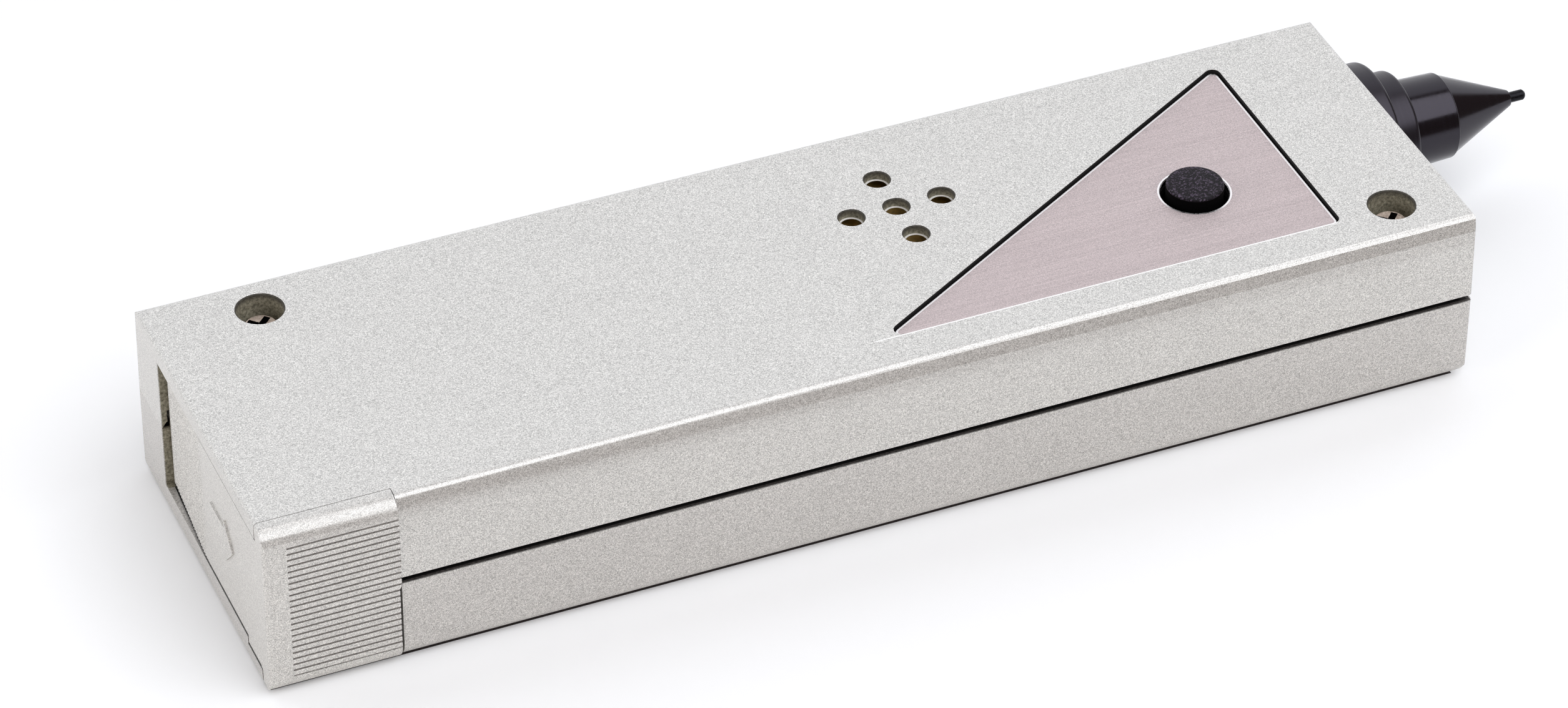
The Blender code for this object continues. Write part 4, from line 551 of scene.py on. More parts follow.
def brushed_plate():
    """Aluminium brushed along the body, with a faint warm tint."""
    material, tree = new_material("brushed_plate")
    place = object_place(tree)
    streak = noise(tree, stretched(tree, place, PLATE_STREAKS), 1.0, 3.0, 0.6)
    broad = noise(tree, stretched(tree, place, PLATE_BROAD_STREAKS), 1.0, 2.0, 0.5)
    speck = noise(tree, place, PLATE_SPECK_SCALE, 2.0, 0.6)
    light = varied(tree, streak, *PLATE_STREAK_TONES)
    light = maths(tree, "ADD", light, varied(tree, speck, *PLATE_SPECK_TONES))
    light = maths(tree, "ADD", light, varied(tree, broad, *PLATE_BROAD_TONES))
    colour = tint(tree, rgba(PLATE_COLOUR), light)
    rough = varied(tree, streak, *PLATE_ROUGH_RANGE)
    height = maths(tree, "ADD", streak, maths(tree, "MULTIPLY", speck, 0.4))
    normal = bump(tree, height, FINE_BUMP, 0.5)
    shader(tree, {"Base Color": colour, "Roughness": rough, "Metallic": PLATE_METAL, "Normal": normal})
    return material


def grained_black(name, colour, rough, grain_scale, depth, shine=0.5, fleck=1.0):
    """Black moulded plastic with a fine spark-eroded grain and small flecks, lighter by a factor."""
    material, tree = new_material(name)
    place = object_place(tree)
    grain = noise(tree, place, grain_scale, 3.0, 0.6)
    shade = tint(tree, rgba(colour), varied(tree, grain, *BLACK_TONES))
    cells = add(tree, "ShaderNodeTexVoronoi", {"Vector": place, "Scale": grain_scale * FLECKS_PER_GRAIN})
    tone = add(tree, "ShaderNodeSeparateColor", {0: cells.outputs["Color"]}).outputs[0]
    shade = tint(tree, shade, spread(tree, tone, FLECK_FROM, 1.0, 1.0, fleck))
    inputs = {"Base Color": shade, "Roughness": varied(tree, grain, rough - 0.06, rough + 0.08)}
    inputs["Specular IOR Level"] = shine
    inputs["Normal"] = bump(tree, grain, depth, 0.6)
    shader(tree, inputs)
    return material


def turned_black(name, ring_scale, depth, rough):
    """Semi-gloss black plastic with fine rings left by the lathe, square to the probe's axis."""
    material, tree = new_material(name)
    place = object_place(tree)
    offset = add(tree, "ShaderNodeVectorMath", {0: place, 1: PROBE_AXIS}, operation="SUBTRACT").outputs[0]
    parts = add(tree, "ShaderNodeSeparateXYZ", {0: offset}).outputs
    square = maths(tree, "ADD", maths(tree, "POWER", parts[1], 2.0), maths(tree, "POWER", parts[2], 2.0))
    across = maths(tree, "SQRT", square)
    along = add(tree, "ShaderNodeCombineXYZ", {0: maths(tree, "ADD", parts[0], across)}).outputs[0]
    rings = noise(tree, along, ring_scale, 3.0, 0.6)
    grain = noise(tree, place, PROBE_GRAIN_SCALE, 2.0, 0.6)
    shade = tint(tree, rgba(PROBE_COLOUR), varied(tree, grain, *PROBE_TONES))
    height = maths(tree, "ADD", rings, maths(tree, "MULTIPLY", grain, PROBE_GRAIN_SHARE))
    inputs = {"Base Color": shade, "Roughness": varied(tree, rings, rough - 0.04, rough + 0.06)}
    inputs["Specular Tint"] = rgba(PROBE_SHEEN)
    inputs["Normal"] = bump(tree, height, depth, 0.6)
    shader(tree, inputs)
    return material


def plain_metal(name, colour, rough, scale=3000.0, variation=0.12, metallic=1.0):
    """Plated or tarnished metal with small changes of tone and gloss."""
    material, tree = new_material(name)
    place = object_place(tree)
    grain = noise(tree, place, scale, 4.0, 0.6)
    shade = tint(tree, rgba(colour), varied(tree, grain, 1.0 - variation, 1.0 + variation))
    inputs = {"Base Color": shade, "Metallic": metallic}
    inputs["Roughness"] = varied(tree, grain, rough - 0.08, rough + 0.08)
    inputs["Normal"] = bump(tree, grain, FINE_BUMP, 0.4)
    shader(tree, inputs)
    return material


def plain_plastic(name, colour, rough):
    """Moulded plastic or ceramic with a faint grain."""
    material, tree = new_material(name)
    place = object_place(tree)
    grain = noise(tree, place, PLASTIC_GRAIN_SCALE, 3.0, 0.6)
    light = varied(tree, grain, 1.0 - PLASTIC_VARIATION, 1.0 + PLASTIC_VARIATION)
    shade = tint(tree, rgba(colour), light)
    inputs = {"Base Color": shade, "Roughness": varied(tree, grain, rough - 0.05, rough + 0.05)}
    inputs["Normal"] = bump(tree, grain, FINE_BUMP, 0.35)
    shader(tree, inputs)
    return material


def circuit_green():
    """Solder resist over copper traces and round pads."""
    material, tree = new_material("circuit_green")
    place = object_place(tree)
    cells = add(tree, "ShaderNodeTexVoronoi", {"Vector": place, "Scale": TRACE_SCALE}, distance="CHEBYCHEV")
    trace = spread(tree, cells.outputs["Distance"], *TRACE_EDGE)
    pads = add(tree, "ShaderNodeTexVoronoi", {"Vector": place, "Scale": PAD_SCALE})
    pad = spread(tree, pads.outputs["Distance"], *PAD_EDGE)
    resist = blend_colours(tree, trace, rgba(RESIST_COLOUR), rgba(TRACE_COLOUR))
    colour = blend_colours(tree, pad, resist, rgba(PAD_COLOUR))
    normal = bump(tree, maths(tree, "SUBTRACT", trace, pad), BOARD_BUMP, 0.6)
    metal = spread(tree, pad, 0.0, 1.0, 0.0, 0.8)
    shader(tree, {"Base Color": colour, "Roughness": 0.32, "Metallic": metal, "Normal": normal})
    return material


def battery_jacket():
    """Dark metal jacket with a copper-coloured band at the terminal end."""
    material, tree = new_material("battery_jacket")
    place = object_place(tree)
    low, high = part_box("battery_case")
    band_x = high.x - (high.x - low.x) * BAND_SHARE
    along = add(tree, "ShaderNodeSeparateXYZ", {0: place}).outputs[0]
    band = spread(tree, along, band_x - BAND_BLUR, band_x + BAND_BLUR)
    grain = noise(tree, place, JACKET_GRAIN_SCALE, 3.0, 0.6)
    dark = tint(tree, rgba(JACKET_COLOUR), varied(tree, grain, 0.85, 1.15))
    copper = tint(tree, rgba(BAND_COLOUR), varied(tree, grain, 0.94, 1.06))
    metal = spread(tree, band, 0.0, 1.0, 0.1, 0.8)
    inputs = {"Base Color": blend_colours(tree, band, dark, copper), "Metallic": metal, "Roughness": 0.3}
    inputs["Normal"] = bump(tree, grain, JACKET_BUMP, 0.3)
    shader(tree, inputs)
    return material


def lens(name, colour, rough):
    """Smoked translucent plastic."""
    material, tree = new_material(name)
    place = object_place(tree)
    haze = noise(tree, place, LENS_HAZE_SCALE, 3.0, 0.6)
    shade = tint(tree, rgba(colour), varied(tree, haze, 0.92, 1.08))
    inputs = {"Base Color": shade, "Roughness": rough, "Transmission Weight": 0.45, "IOR": 1.5}
    inputs["Normal"] = bump(tree, haze, LENS_BUMP, 0.15)
    shader(tree, inputs)
    return material


FINISHES = {
    "paint_rear": paint("paint_rear", PAINT_COLOUR),
    # Painted shade: the front shell takes the darker copy of the paint.
    "paint_front": paint("paint_front", PAINT_SHADED_COLOUR),
    "paint_door": paint("paint_door", PAINT_COLOUR, inner=False, metallic=0.4, rough_low=0.30),
    "plate": brushed_plate(),
    # A near-white metal for the plate's edges: a painted highlight.
    "plate_edge_highlight": plain_metal("plate_edge_highlight", (0.90, 0.88, 0.88), rough=0.3, variation=0.05),
    "button": grained_black(
        "button_black", (0.0064, 0.0050, 0.0074), rough=0.42, grain_scale=4200.0, depth=0.00008, shine=0.12,
        fleck=12.0,
    ),
    # Near black used as painted shade: the button's sides, the plate's hole wall and the screws' recesses.
    "hole": grained_black(
        "painted_shade_black", PAINTED_SHADE_BLACK, rough=0.8, grain_scale=3500.0, depth=0.00001, shine=0.04,
    ),
    "black": grained_black(
        "moulded_black", (0.013, 0.013, 0.014), rough=0.42, grain_scale=3500.0, depth=0.000012,
    ),
    "collar": turned_black("collar_black", ring_scale=3200.0, depth=0.000015, rough=0.30),
    "probe": turned_black("probe_black", ring_scale=2400.0, depth=0.000003, rough=0.15),
    "pin": plain_metal("pin_metal", (0.018, 0.018, 0.021), rough=0.35, scale=4000.0, variation=0.3),
    "screw": plain_metal(
        "screw_metal", (1.0, 0.84, 0.74), rough=0.22, scale=2600.0, variation=0.4, metallic=0.6,
    ),
    "brass": plain_metal(
        "sounder_brass", (0.74, 0.50, 0.16), rough=0.5, scale=1800.0, variation=0.25, metallic=0.1,
    ),
    "steel": plain_metal("plated_steel", (0.56, 0.56, 0.57), rough=0.28),
    "ceramic": plain_plastic("ceramic_white", (0.74, 0.72, 0.67), rough=0.5),
    "board": circuit_green(),
    "battery": battery_jacket(),
    "sleeve": plain_plastic("capacitor_sleeve", (0.020, 0.022, 0.055), rough=0.3),
    "window": lens("smoked_red", (0.30, 0.035, 0.03), rough=0.18),
    "lamp": lens("red_epoxy", (0.62, 0.10, 0.06), rough=0.12),
    "red": plain_plastic("red_insulation", (0.50, 0.03, 0.02), rough=0.38),
    "lead_black": plain_plastic("black_insulation", (0.018, 0.018, 0.018), rough=0.4),
    "ledge": plain_plastic("grille_ledge", (0.86, 0.85, 0.82), rough=0.5),
}


def nodes_starting(start):
    """Names of the nodes that begin alike, such as the parts of one row."""
    return [name for name in NODES if name.startswith(start)]


NODE_FINISHES = {
    "paint_rear": ["rear_shell"],
    "paint_front": ["front_shell"],
    "paint_door": ["battery_door"],
    "plate": ["touch_plate"],
    "button": ["power_button"],
    "black": ["sensitivity_dial", "control_chip", "switch_body", "battery_snap"],
    "collar": ["probe_collar"],
    "probe": ["probe_sleeve", "probe_nose", "probe_plug"],
    "pin": ["probe_tip"],
    "screw": ["case_screw_tail", "case_screw_head"],
    "brass": ["sounder_disc"],
    "steel": [
        "button_spring", "contact_spring", "probe_spring", "battery_stud", "battery_socket",
        "dial_potentiometer", *nodes_starting("board_screw"),
    ],
    "ceramic": ["sounder_ceramic", "switch_plunger"],
    "board": ["circuit_board"],
    "battery": ["battery_case"],
    "sleeve": nodes_starting("capacitor"),
    "window": ["bar_window", "diamond_window", "moissanite_window"],
    "lamp": ["diamond_lamp", "moissanite_lamp", *nodes_starting("bar_lamp")],
    "red": ["battery_lead_red", "probe_lead_near", "probe_lead_far"],
    "lead_black": ["battery_lead_black"],
}


def finish_nodes():
    """Give every node its finish."""
    for finish, names in NODE_FINISHES.items():
        for name in names:
            for slot in NODES[name].material_slots:
                slot.material = FINISHES[finish]


finish_nodes()


# Smooth shading


def smooth_group():
    """Geometry nodes that shade smooth, but keep edges sharper than an angle."""
    group = bpy.data.node_groups.new("smooth_by_angle", "GeometryNodeTree")
    group.interface.new_socket("Geometry", in_out="INPUT", socket_type="NodeSocketGeometry")
    group.interface.new_socket("Geometry", in_out="OUTPUT", socket_type="NodeSocketGeometry")
    enter = group.nodes.new("NodeGroupInput")
    leave = group.nodes.new("NodeGroupOutput")
    angle = group.nodes.new("GeometryNodeInputMeshEdgeAngle")
    flat = add(group, "ShaderNodeMath", {0: angle.outputs[0], 1: SMOOTH_ANGLE}, operation="LESS_THAN")
    faces = add(group, "GeometryNodeSetShadeSmooth", {"Geometry": enter.outputs[0]}, domain="FACE")
    inputs = {"Geometry": faces.outputs[0], "Shade Smooth": flat.outputs[0]}
    edges = add(group, "GeometryNodeSetShadeSmooth", inputs, domain="EDGE")
    group.links.new(edges.outputs[0], leave.inputs[0])
    return group


SMOOTH_GROUP = smooth_group()


def refine(piece):
    """Weld a solid's loose facets and shade it smooth by angle."""
    mesh = piece.data
    if "custom_normal" in mesh.attributes:
        mesh.attributes.remove(mesh.attributes["custom_normal"])
    weld = piece.modifiers.new("weld", "WELD")
    weld.merge_threshold = WELD_DISTANCE
    smooth = piece.modifiers.new("smooth", "NODES")
    smooth.node_group = SMOOTH_GROUP
    weighted = piece.modifiers.new("weighted", "WEIGHTED_NORMAL")
    weighted.keep_sharp = True
    weighted.weight = STRONG_FACE_WEIGHT


for node in NODES.values():
    refine(node)


# Fine pieces


def dress(name, mesh, finish, slot, body, *replaced):
    """Link a piece with its finish, on its body if one is named, in place of the nodes it stands for."""
    piece = bpy.data.objects.new(name, mesh)
    bpy.context.scene.collection.objects.link(piece)
    if mesh.materials:
        mesh.materials.clear()
    mesh.materials.append(FINISHES[finish])
    refine(piece)
    if body:
        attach(piece, body)
    if replaced:
        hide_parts(*replaced)
    return piece


def finished_mesh(name, work):
    """The mesh of a bmesh, with its faces turned outwards."""
    bmesh.ops.recalc_face_normals(work, faces=work.faces)
    mesh = bpy.data.meshes.new(name)
    work.to_mesh(mesh)
    work.free()
    return mesh


def eased(profile, radius, closed):
    """A profile with each corner rounded by a small radius."""
    corners = [Vector(point) for point in profile]
    count = len(corners)
    points = []
    for i, here in enumerate(corners):
        if not closed and i in (0, count - 1):
            points.append(here)
            continue
        back = corners[i - 1] - here
        ahead = corners[(i + 1) % count] - here
        reach = min(radius, back.length * EASE_SHARE, ahead.length * EASE_SHARE)
        start = here + back.normalized() * reach
        end = here + ahead.normalized() * reach
        for k in range(EDGE_STEPS + 1):
            t = k / EDGE_STEPS
            points.append(start * (1 - t) ** 2 + here * (2 * t * (1 - t)) + end * t ** 2)
    return points


def circle(radius, sides=FINE_SIDES):
    angles = [2 * math.pi * i / sides for i in range(sides)]
    return [(radius * math.cos(angle), radius * math.sin(angle)) for angle in angles]


def stitch(work, first, second):
    """Faces between two rings, either of which may be one point."""
    count = max(len(first), len(second))
    for i in range(count):
        j = (i + 1) % count
        corners = [first[i % len(first)], first[j % len(first)]]
        corners += [second[j % len(second)], second[i % len(second)]]
        corners = list(dict.fromkeys(corners))
        if len(corners) > 2:
            work.faces.new(corners)


def ring(work, points, z):
    """Vertices of an outline at a height."""
    return [work.verts.new((x, y, z)) for x, y in points]


def stitch_all(work, rings):
    for first, second in zip(rings, rings[1:]):
        stitch(work, first, second)


def fill(work, *rings):
    """Faces that close the space inside one outline and outside another."""
    edges = []
    for verts in rings:
        for first, second in zip(verts, verts[1:] + verts[:1]):
            edges.append(work.edges.get((first, second)) or work.edges.new((first, second)))
    bmesh.ops.triangle_fill(work, use_beauty=True, edges=edges)


def turned_rings(work, profile, sides):
    """Rings round the Z axis through a profile of radius and height."""
    rings = []
    for radius, height in profile:
        outline = circle(radius, sides) if radius > NEAR_ENOUGH / 10 else [(0.0, 0.0)]
        rings.append(ring(work, outline, height))
    return rings


def turned_mesh(name, profile, edge, closed, sides=FINE_SIDES):
    """A turned piece round the Z axis; a closed profile has a bore."""
    work = bmesh.new()
    rings = turned_rings(work, eased(profile, edge, closed), sides)
    if closed:
        rings.append(rings[0])
    stitch_all(work, rings)
    return finished_mesh(name, work)


def probe_piece(name, profile, edge, closed, finish, slot, body):
    """A turned piece on the probe's axis."""
    mesh = turned_mesh(name, profile, edge, closed)
    place = Matrix.Translation((HEAD_X, PROBE_AXIS[1], PROBE_AXIS[2]))
    mesh.transform(place @ Matrix.Rotation(math.pi / 2, 4, "Y"))
    dress(name + "_fine", mesh, finish, slot, body, name)


def make_probe():
    """Collar, sleeve, nose and pin, all turned smooth with softly rounded edges."""
    probe_piece("probe_collar", COLLAR_PROFILE, COLLAR_EDGE, True, "collar", "probe_black", "housing")
    probe_piece("probe_sleeve", SLEEVE_PROFILE, SLEEVE_EDGE, True, "probe", "probe_black", "housing")
    probe_piece("probe_nose", NOSE_PROFILE, NOSE_EDGE, True, "probe", "probe_black", "housing")
    probe_piece("probe_tip", TIP_PROFILE, TIP_EDGE, False, "pin", "probe_metal", "probe_tip")


def plate_outline(inset):
    """The touch plate's triangle with rounded corners, drawn in from the pocket's wall."""
    head_x = PLATE_HIGH.x + PLATE_GAP
    tail = (POCKET_TAIL_X, POCKET_NEAR_Y)
    corners = [(head_x, POCKET_NEAR_Y), (head_x, POCKET_NEAR_Y + POCKET_WIDTH), tail]
    radius = PLATE_CORNER_RADIUS - inset
    points = []
    for i, corner in enumerate(corners):
        here = Vector(corner)
        arrive = (here - Vector(corners[i - 1])).normalized()
        leave = (Vector(corners[(i + 1) % 3]) - here).normalized()
        turn = arrive.angle(leave)
        centre = here + (leave - arrive).normalized() * (PLATE_CORNER_RADIUS / math.cos(turn / 2))
        first = math.atan2(-arrive.x, arrive.y)
        for k in range(CORNER_STEPS + 1):
            angle = first + turn * k / CORNER_STEPS
            points.append((centre.x + radius * math.cos(angle), centre.y + radius * math.sin(angle)))
    return points


def hole_outline(radius):
    return [(BUTTON_PLACE.x + x, BUTTON_PLACE.y + y) for x, y in circle(radius)]


def make_plate():
    """Thin brushed triangle with a painted highlight on its fine edges, and a wall round the button painted
    near black as shade.
    """
    work = bmesh.new()
    low, high = PLATE_LOW.z, PLATE_HIGH.z
    rim = high - PLATE_BEVEL
    outer = [
        ring(work, plate_outline(PLATE_FINE_GAP), low),
        ring(work, plate_outline(PLATE_FINE_GAP), rim),
        ring(work, plate_outline(PLATE_FINE_GAP + PLATE_BEVEL), high),
        ring(work, plate_outline(PLATE_FINE_GAP + PLATE_BEVEL + PLATE_HIGHLIGHT_BAND), high),
    ]
    hole = [
        ring(work, hole_outline(BUTTON_HOLE_RADIUS + PLATE_BEVEL + PLATE_HIGHLIGHT_BAND), high),
        ring(work, hole_outline(BUTTON_HOLE_RADIUS + PLATE_BEVEL), high),
        ring(work, hole_outline(BUTTON_HOLE_RADIUS), rim),
        ring(work, hole_outline(BUTTON_HOLE_RADIUS), low),
    ]
    stitch_all(work, outer)
    stitch_all(work, hole)
    fill(work, outer[-1], hole[0])
    fill(work, hole[-1], outer[0])
    # Edge faces take the near-white metal as a painted highlight; the hole's wall takes near black as
    # painted shade.
    walls = set(hole[2] + hole[3])
    edges = set(sum(outer[1:] + hole[:3], []))
    for face in work.faces:
        if all(vert in walls for vert in face.verts):
            face.material_index = PLATE_SHADED_WALL_SLOT
        elif len(face.verts) == 4 and all(vert in edges for vert in face.verts):
            face.material_index = PLATE_HIGHLIGHT_SLOT
    mesh = finished_mesh("touch_plate_fine", work)
    piece = dress("touch_plate_fine", mesh, "plate", "touch_plate", "housing", "touch_plate")
    piece.data.materials.append(FINISHES["hole"])
    piece.data.materials.append(FINISHES["plate_edge_highlight"])


def make_button():
    """Cap with a softly rounded edge, its flange and its stem."""
    profile = [(0.0, BUTTON_HIGH.z), (CAP_RADIUS, BUTTON_HIGH.z), (CAP_RADIUS, CAP_FLANGE_TOP_Z)]
    profile += [(CAP_FLANGE_RADIUS, CAP_FLANGE_TOP_Z), (CAP_FLANGE_RADIUS, CAP_FLANGE_LOW_Z)]
    profile += [(CAP_STEM_RADIUS, CAP_FLANGE_LOW_Z), (CAP_STEM_RADIUS, BUTTON_LOW.z), (0.0, BUTTON_LOW.z)]
    mesh = turned_mesh("power_button_fine", profile, CAP_EDGE, False)
    mesh.transform(Matrix.Translation((BUTTON_PLACE.x, BUTTON_PLACE.y, 0.0)))
    top = BUTTON_HIGH.z - CAP_EDGE
    piece = dress("power_button_fine", mesh, "button", "black_plastic", "power_button", "power_button")
    piece.data.materials.append(FINISHES["hole"])
    # The cap's sides take the near-black finish: painted shade.
    for face in mesh.polygons:
        face.material_index = int(face.center.z < top)


def cross_outline(share):
    """Outline of a cross recess, its arms shortened by a share."""
    reach, half = CROSS_REACH * share, CROSS_HALF_WIDTH * math.sqrt(share)
    arm = [(reach, -half), (reach, half), (half, half)]
    points = []
    for quarter in range(4):
        angle = (quarter + 0.5) * math.pi / 2
        cosine, sine = math.cos(angle), math.sin(angle)
        for x, y in arm:
            points.append((x * cosine - y * sine, x * sine + y * cosine))
    return points


def make_case_screw(name):
    """Screw with a low crown and a tapered cross recess whose faces are painted near black as shade."""
    low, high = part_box(name)
    seat = high.z - SCREW_HEAD_HEIGHT
    shoulder = high.z - SCREW_HEAD_HEIGHT / 3
    shank = SCREW_SHANK_RADIUS
    profile = [(0.0, low.z), (shank / 3, low.z), (shank, low.z + shank), (shank, seat)]
    profile += [(SCREW_HEAD_RADIUS, seat), (SCREW_HEAD_RADIUS, shoulder), (SCREW_CROWN_RADIUS, high.z)]
    work = bmesh.new()
    rings = turned_rings(work, eased(profile, CAP_EDGE, False), HOLE_SIDES)
    stitch_all(work, rings)
    mouth = ring(work, cross_outline(1.0), high.z)
    floor = ring(work, cross_outline(CROSS_FLOOR_SHARE), high.z - CROSS_DEPTH)
    fill(work, rings[-1], mouth)
    crown = set(work.faces)
    stitch(work, mouth, floor)
    work.faces.new(floor)
    # The recess's faces take the near-black finish: painted shade.
    for face in work.faces:
        face.material_index = int(face not in crown)
    mesh = finished_mesh(name + "_fine", work)
    mesh.transform(Matrix.Translation(((low.x + high.x) / 2, (low.y + high.y) / 2, 0.0)))
    piece = dress(name + "_fine", mesh, "screw", "screw_brass", "housing", name)
    piece.data.materials.append(FINISHES["hole"])


def make_hole_lips():
    """The pale lip that shows at the foot of each sound hole."""
    centre = (SOUNDER_LOW + SOUNDER_HIGH) / 2
    high = GRILLE_Z + LIP_THICKNESS / 2
    low = GRILLE_Z - LIP_THICKNESS / 2
    inner, outer = LIP_INNER_RADIUS, SOUND_HOLE_RADIUS
    profile = [(inner, high), (outer, high), (outer, low), (inner, low)]
    for number, (along, across) in enumerate(SOUND_HOLE_PATTERN):
        name = f"sound_hole_lip_{number + 1}"
        mesh = turned_mesh(name, profile, LIP_THICKNESS / 3, True, HOLE_SIDES)
        place = (centre.x + along * SOUND_HOLE_PITCH, centre.y + across * SOUND_HOLE_PITCH, 0.0)
        mesh.transform(Matrix.Translation(place))
        dress(name, mesh, "ledge", "casing_paint", "housing")


def make_door():
    """The door with its head edge, wrap's top edge and end wall's top brought close to the casing."""
    mesh = NODES["battery_door"].data.copy()
    for vertex in mesh.vertices:
        place = vertex.co
        if abs(place.x - DOOR_HIGH.x) < NEAR_ENOUGH and place.z > PARTING_Z:
            place.x += DOOR_CLOSE
        if abs(place.y - DOOR_WRAP_Y) < NEAR_ENOUGH and place.z > POCKET_Z:
            place.y += DOOR_CLOSE
        if abs(place.z - DOOR_END_TOP_Z) < NEAR_ENOUGH and place.x < TAIL_X + DOOR_OUTER_SKIN:
            place.z += DOOR_CLOSE
    mesh.update()
    dress("battery_door_fine", mesh, "paint_door", "casing_paint", "battery_door", "battery_door")


def softened(turn):
    """Distance in from the side and down from the top where the soft edge has turned by an angle."""
    slow = SLOW_RADIUS * (1 - math.sin(max(turn, ROUND_CHANGE)))
    tight = TIGHT_RADIUS * (math.sin(ROUND_CHANGE) - math.sin(min(turn, ROUND_CHANGE)))
    down = TIGHT_RADIUS * (1 - math.cos(min(turn, ROUND_CHANGE)))
    down += SLOW_RADIUS * (math.cos(ROUND_CHANGE) - math.cos(max(turn, ROUND_CHANGE)))
    return slow + tight, down


def shell_cut_at_corner():
    """The rear shell's mesh, cut across where its tail corner ends, so that its rim can step there."""
    work = bmesh.new()
    work.from_mesh(NODES["rear_shell"].data)
    everything = work.verts[:] + work.edges[:] + work.faces[:]
    cut = (TAIL_X + UPRIGHT_RADIUS, 0, 0)
    bmesh.ops.bisect_plane(work, geom=everything, dist=WELD_DISTANCE / 10, plane_co=cut, plane_no=(1, 0, 0))
    mesh = bpy.data.meshes.new("rear_shell_fine")
    work.to_mesh(mesh)
    work.free()
    return mesh


def make_rear_shell():
    """The rear shell, its long top edges rounded tightly above and slowly below, its tail face closed."""
    mesh = shell_cut_at_corner()
    radius = LONG_TOP_RADIUS
    for vertex in mesh.vertices:
        place = vertex.co
        if abs(place.z - REAR_RIM_Z) < NEAR_ENOUGH and place.x < TAIL_X + PIER_CORNER and place.y > 0:
            place.z = PARTING_Z + NEAR_ENOUGH
            continue
        side = -1 if place.y < 0 else 1
        edge_y = NEAR_Y if place.y < 0 else FAR_Y
        inward = radius - abs(edge_y - place.y)
        upward = place.z - (TOP_Z - radius)
        reach = math.hypot(inward, upward)
        if inward < -NEAR_ENOUGH or upward < -NEAR_ENOUGH or reach < radius / 2:
            continue
        turn = math.atan2(max(inward, 0.0), max(upward, 0.0))
        aside, down = softened(turn)
        share = min(reach / radius, 1.0) ** 2
        place.y += share * side * (radius - radius * math.sin(turn) - aside)
        place.z += share * (radius - radius * math.cos(turn) - down)
    mesh.update()
    dress("rear_shell_fine", mesh, "paint_rear", "casing_paint", "housing", "rear_shell")


def make_spring(name, axis):
    """A copy of a coil in place of its solid, its placement baked into the mesh."""
    low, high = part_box(name)
    start = (low + high) / 2
    end = start.copy()
    start[axis] = low[axis]
    end[axis] = high[axis]
    piece = dress(name + "_fine", NODES[name].data.copy(), "steel", "steel", None, name)
    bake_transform(piece)


make_probe()
make_plate()
make_button()
make_case_screw("case_screw_tail")
make_case_screw("case_screw_head")
make_hole_lips()
make_door()
make_rear_shell()
make_spring("button_spring", 2)
make_spring("probe_spring", 0)


# Studio


def make_camera():
    """The photograph's camera."""
    forward = Vector((
        -math.sin(CAMERA_AZIMUTH) * math.cos(CAMERA_ELEVATION),
        math.cos(CAMERA_AZIMUTH) * math.cos(CAMERA_ELEVATION),
        -math.sin(CAMERA_ELEVATION),
    ))
    camera = bpy.data.objects.new("camera", bpy.data.cameras.new("camera"))
    turn = forward.to_track_quat("-Z", "Y").to_matrix().to_4x4()
    camera.matrix_world = Matrix.Translation(CAMERA_PLACE) @ turn @ Matrix.Rotation(CAMERA_ROLL, 4, "Z")
    camera.data.lens = LENS
    camera.data.sensor_width = SENSOR_WIDTH
    camera.data.clip_start = NEAREST_SEEN
    camera.data.clip_end = FARTHEST_SEEN
    bpy.context.scene.collection.objects.link(camera)
    bpy.context.scene.camera = camera


def make_softbox(name, direction, distance, size, power, colour):
    """A rectangular soft light that faces the middle of the casing."""
    light = bpy.data.lights.new(name, "AREA")
    light.shape = "RECTANGLE"
    light.size, light.size_y = size
    light.energy = power
    light.color = colour
    lamp = bpy.data.objects.new(name, light)
    away = Vector(direction).normalized()
    lamp.location = away * distance
    lamp.rotation_euler = away.to_track_quat("Z", "Y").to_euler()
    bpy.context.scene.collection.objects.link(lamp)


def make_world():
    """A white backdrop behind the object, and a dimmer room in front of it."""
    world = bpy.data.worlds.new("studio")
    world.use_nodes = True
    tree = world.node_tree
    tree.nodes.clear()
    direction = add(tree, "ShaderNodeTexCoord").outputs["Generated"]
    parts = add(tree, "ShaderNodeSeparateXYZ", {0: direction}).outputs
    back = spread(tree, parts[1], BACKDROP_FROM, BACKDROP_TO)
    colour = blend_colours(tree, back, rgba(STUDIO_DARK), rgba(BACKDROP_LIGHT))
    background = add(tree, "ShaderNodeBackground", {"Color": colour, "Strength": 1.0})
    add(tree, "ShaderNodeOutputWorld", {"Surface": background.outputs[0]})
    bpy.context.scene.world = world


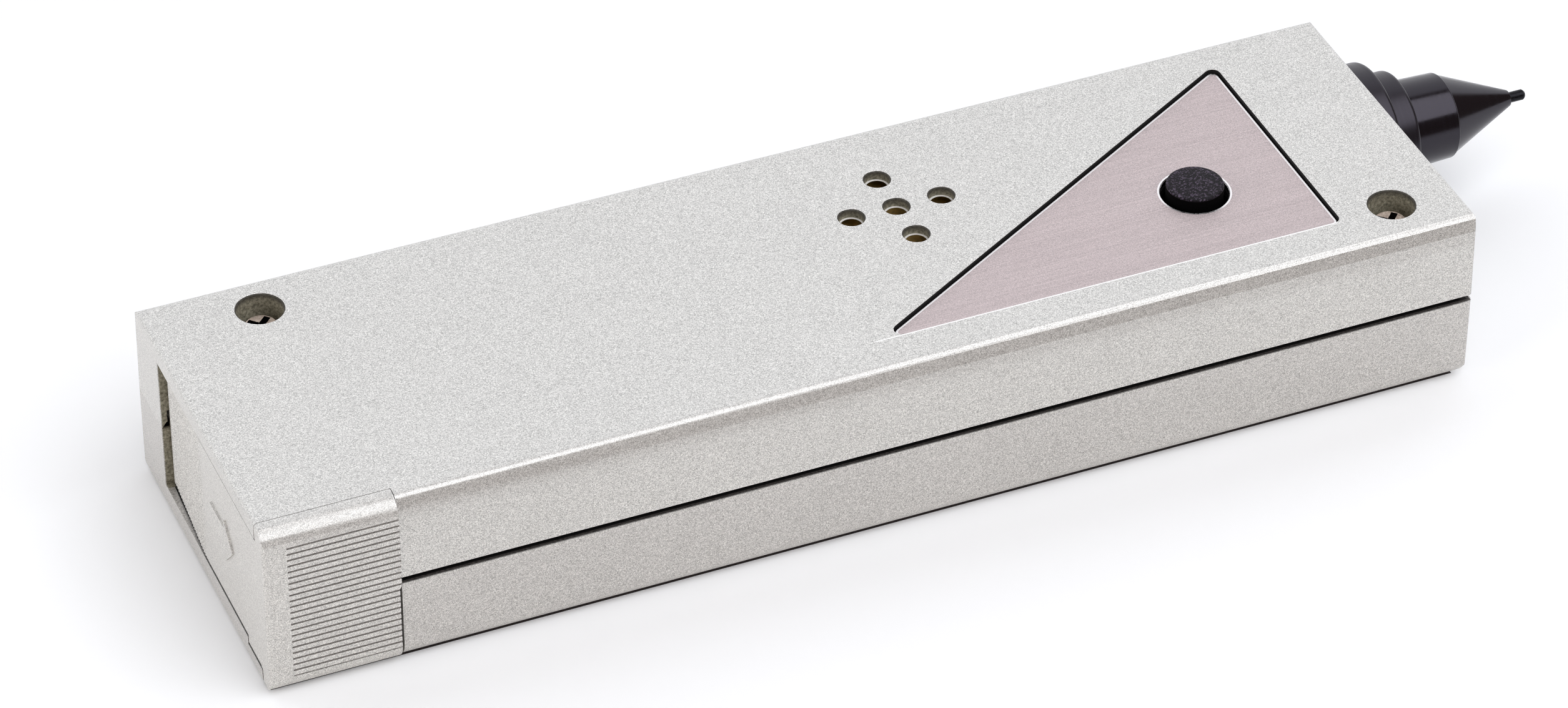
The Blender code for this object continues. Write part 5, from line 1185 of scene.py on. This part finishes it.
def make_floor():
    """A pale table top with a little glow of its own and warmer bounced light.

    A painted contact shadow darkens it where the tester rests, and in reflections only it is painted
    darker, fading to the dim room towards the near side.
    """
    mesh = bpy.data.meshes.new("floor")
    work = bmesh.new()
    bmesh.ops.create_grid(work, x_segments=1, y_segments=1, size=FLOOR_SIZE / 2)
    work.to_mesh(mesh)
    work.free()
    floor = bpy.data.objects.new("floor", mesh)
    floor.location.z = -FLOOR_DROP
    bpy.context.scene.collection.objects.link(floor)
    material, tree = new_material("floor_white")
    path = add(tree, "ShaderNodeLightPath").outputs
    seen = maths(tree, "MAXIMUM", path["Is Camera Ray"], path["Is Glossy Ray"])
    seen = maths(tree, "MAXIMUM", seen, path["Is Transmission Ray"])
    colour = blend_colours(tree, seen, rgba(FLOOR_BOUNCE_COLOUR), rgba(FLOOR_COLOUR))
    place = object_place(tree)
    across = add(tree, "ShaderNodeSeparateXYZ", {0: place}).outputs[1]
    # Painted reflection: in glossy rays the floor darkens to the dim room towards the near side.
    fade = spread(tree, across, REFLECTION_DIM_FROM_Y, REFLECTION_DIM_TO_Y)
    edge = maths(tree, "MULTIPLY", path["Is Glossy Ray"], fade)
    colour = blend_colours(tree, edge, colour, rgba(STUDIO_DARK))
    # Painted contact shadow: the floor under the tester, inset from its edges, is near black and has no
    # glow.
    low = (TAIL_X + CONTACT_TAIL_INSET, NEAR_Y + CONTACT_SIDE_INSET, -INNER_MARGIN)
    high = (HEAD_X - CONTACT_SIDE_INSET, FAR_Y - CONTACT_SIDE_INSET, INNER_MARGIN)
    contact = inside_box(tree, place, low, high)
    colour = blend_colours(tree, contact, colour, rgba(PAINTED_CONTACT_SHADOW))
    seen = maths(tree, "MULTIPLY", seen, maths(tree, "SUBTRACT", 1.0, contact))
    shader(tree, {
        "Base Color": colour,
        "Roughness": FLOOR_ROUGH,
        "Specular IOR Level": FLOOR_SHINE,
        "Emission Color": rgba(FLOOR_GLOW),
        "Emission Strength": maths(tree, "MULTIPLY", seen, FLOOR_LIFT),
    })
    mesh.materials.append(material)


make_camera()
make_softbox("key_softbox", KEY_DIRECTION, KEY_DISTANCE, KEY_SIZE, KEY_POWER, KEY_COLOUR)
make_softbox("side_softbox", SIDE_DIRECTION, SIDE_DISTANCE, SIDE_SIZE, SIDE_POWER, SIDE_COLOUR)
make_world()
make_floor()
bpy.context.scene.view_settings.view_transform = "Standard"
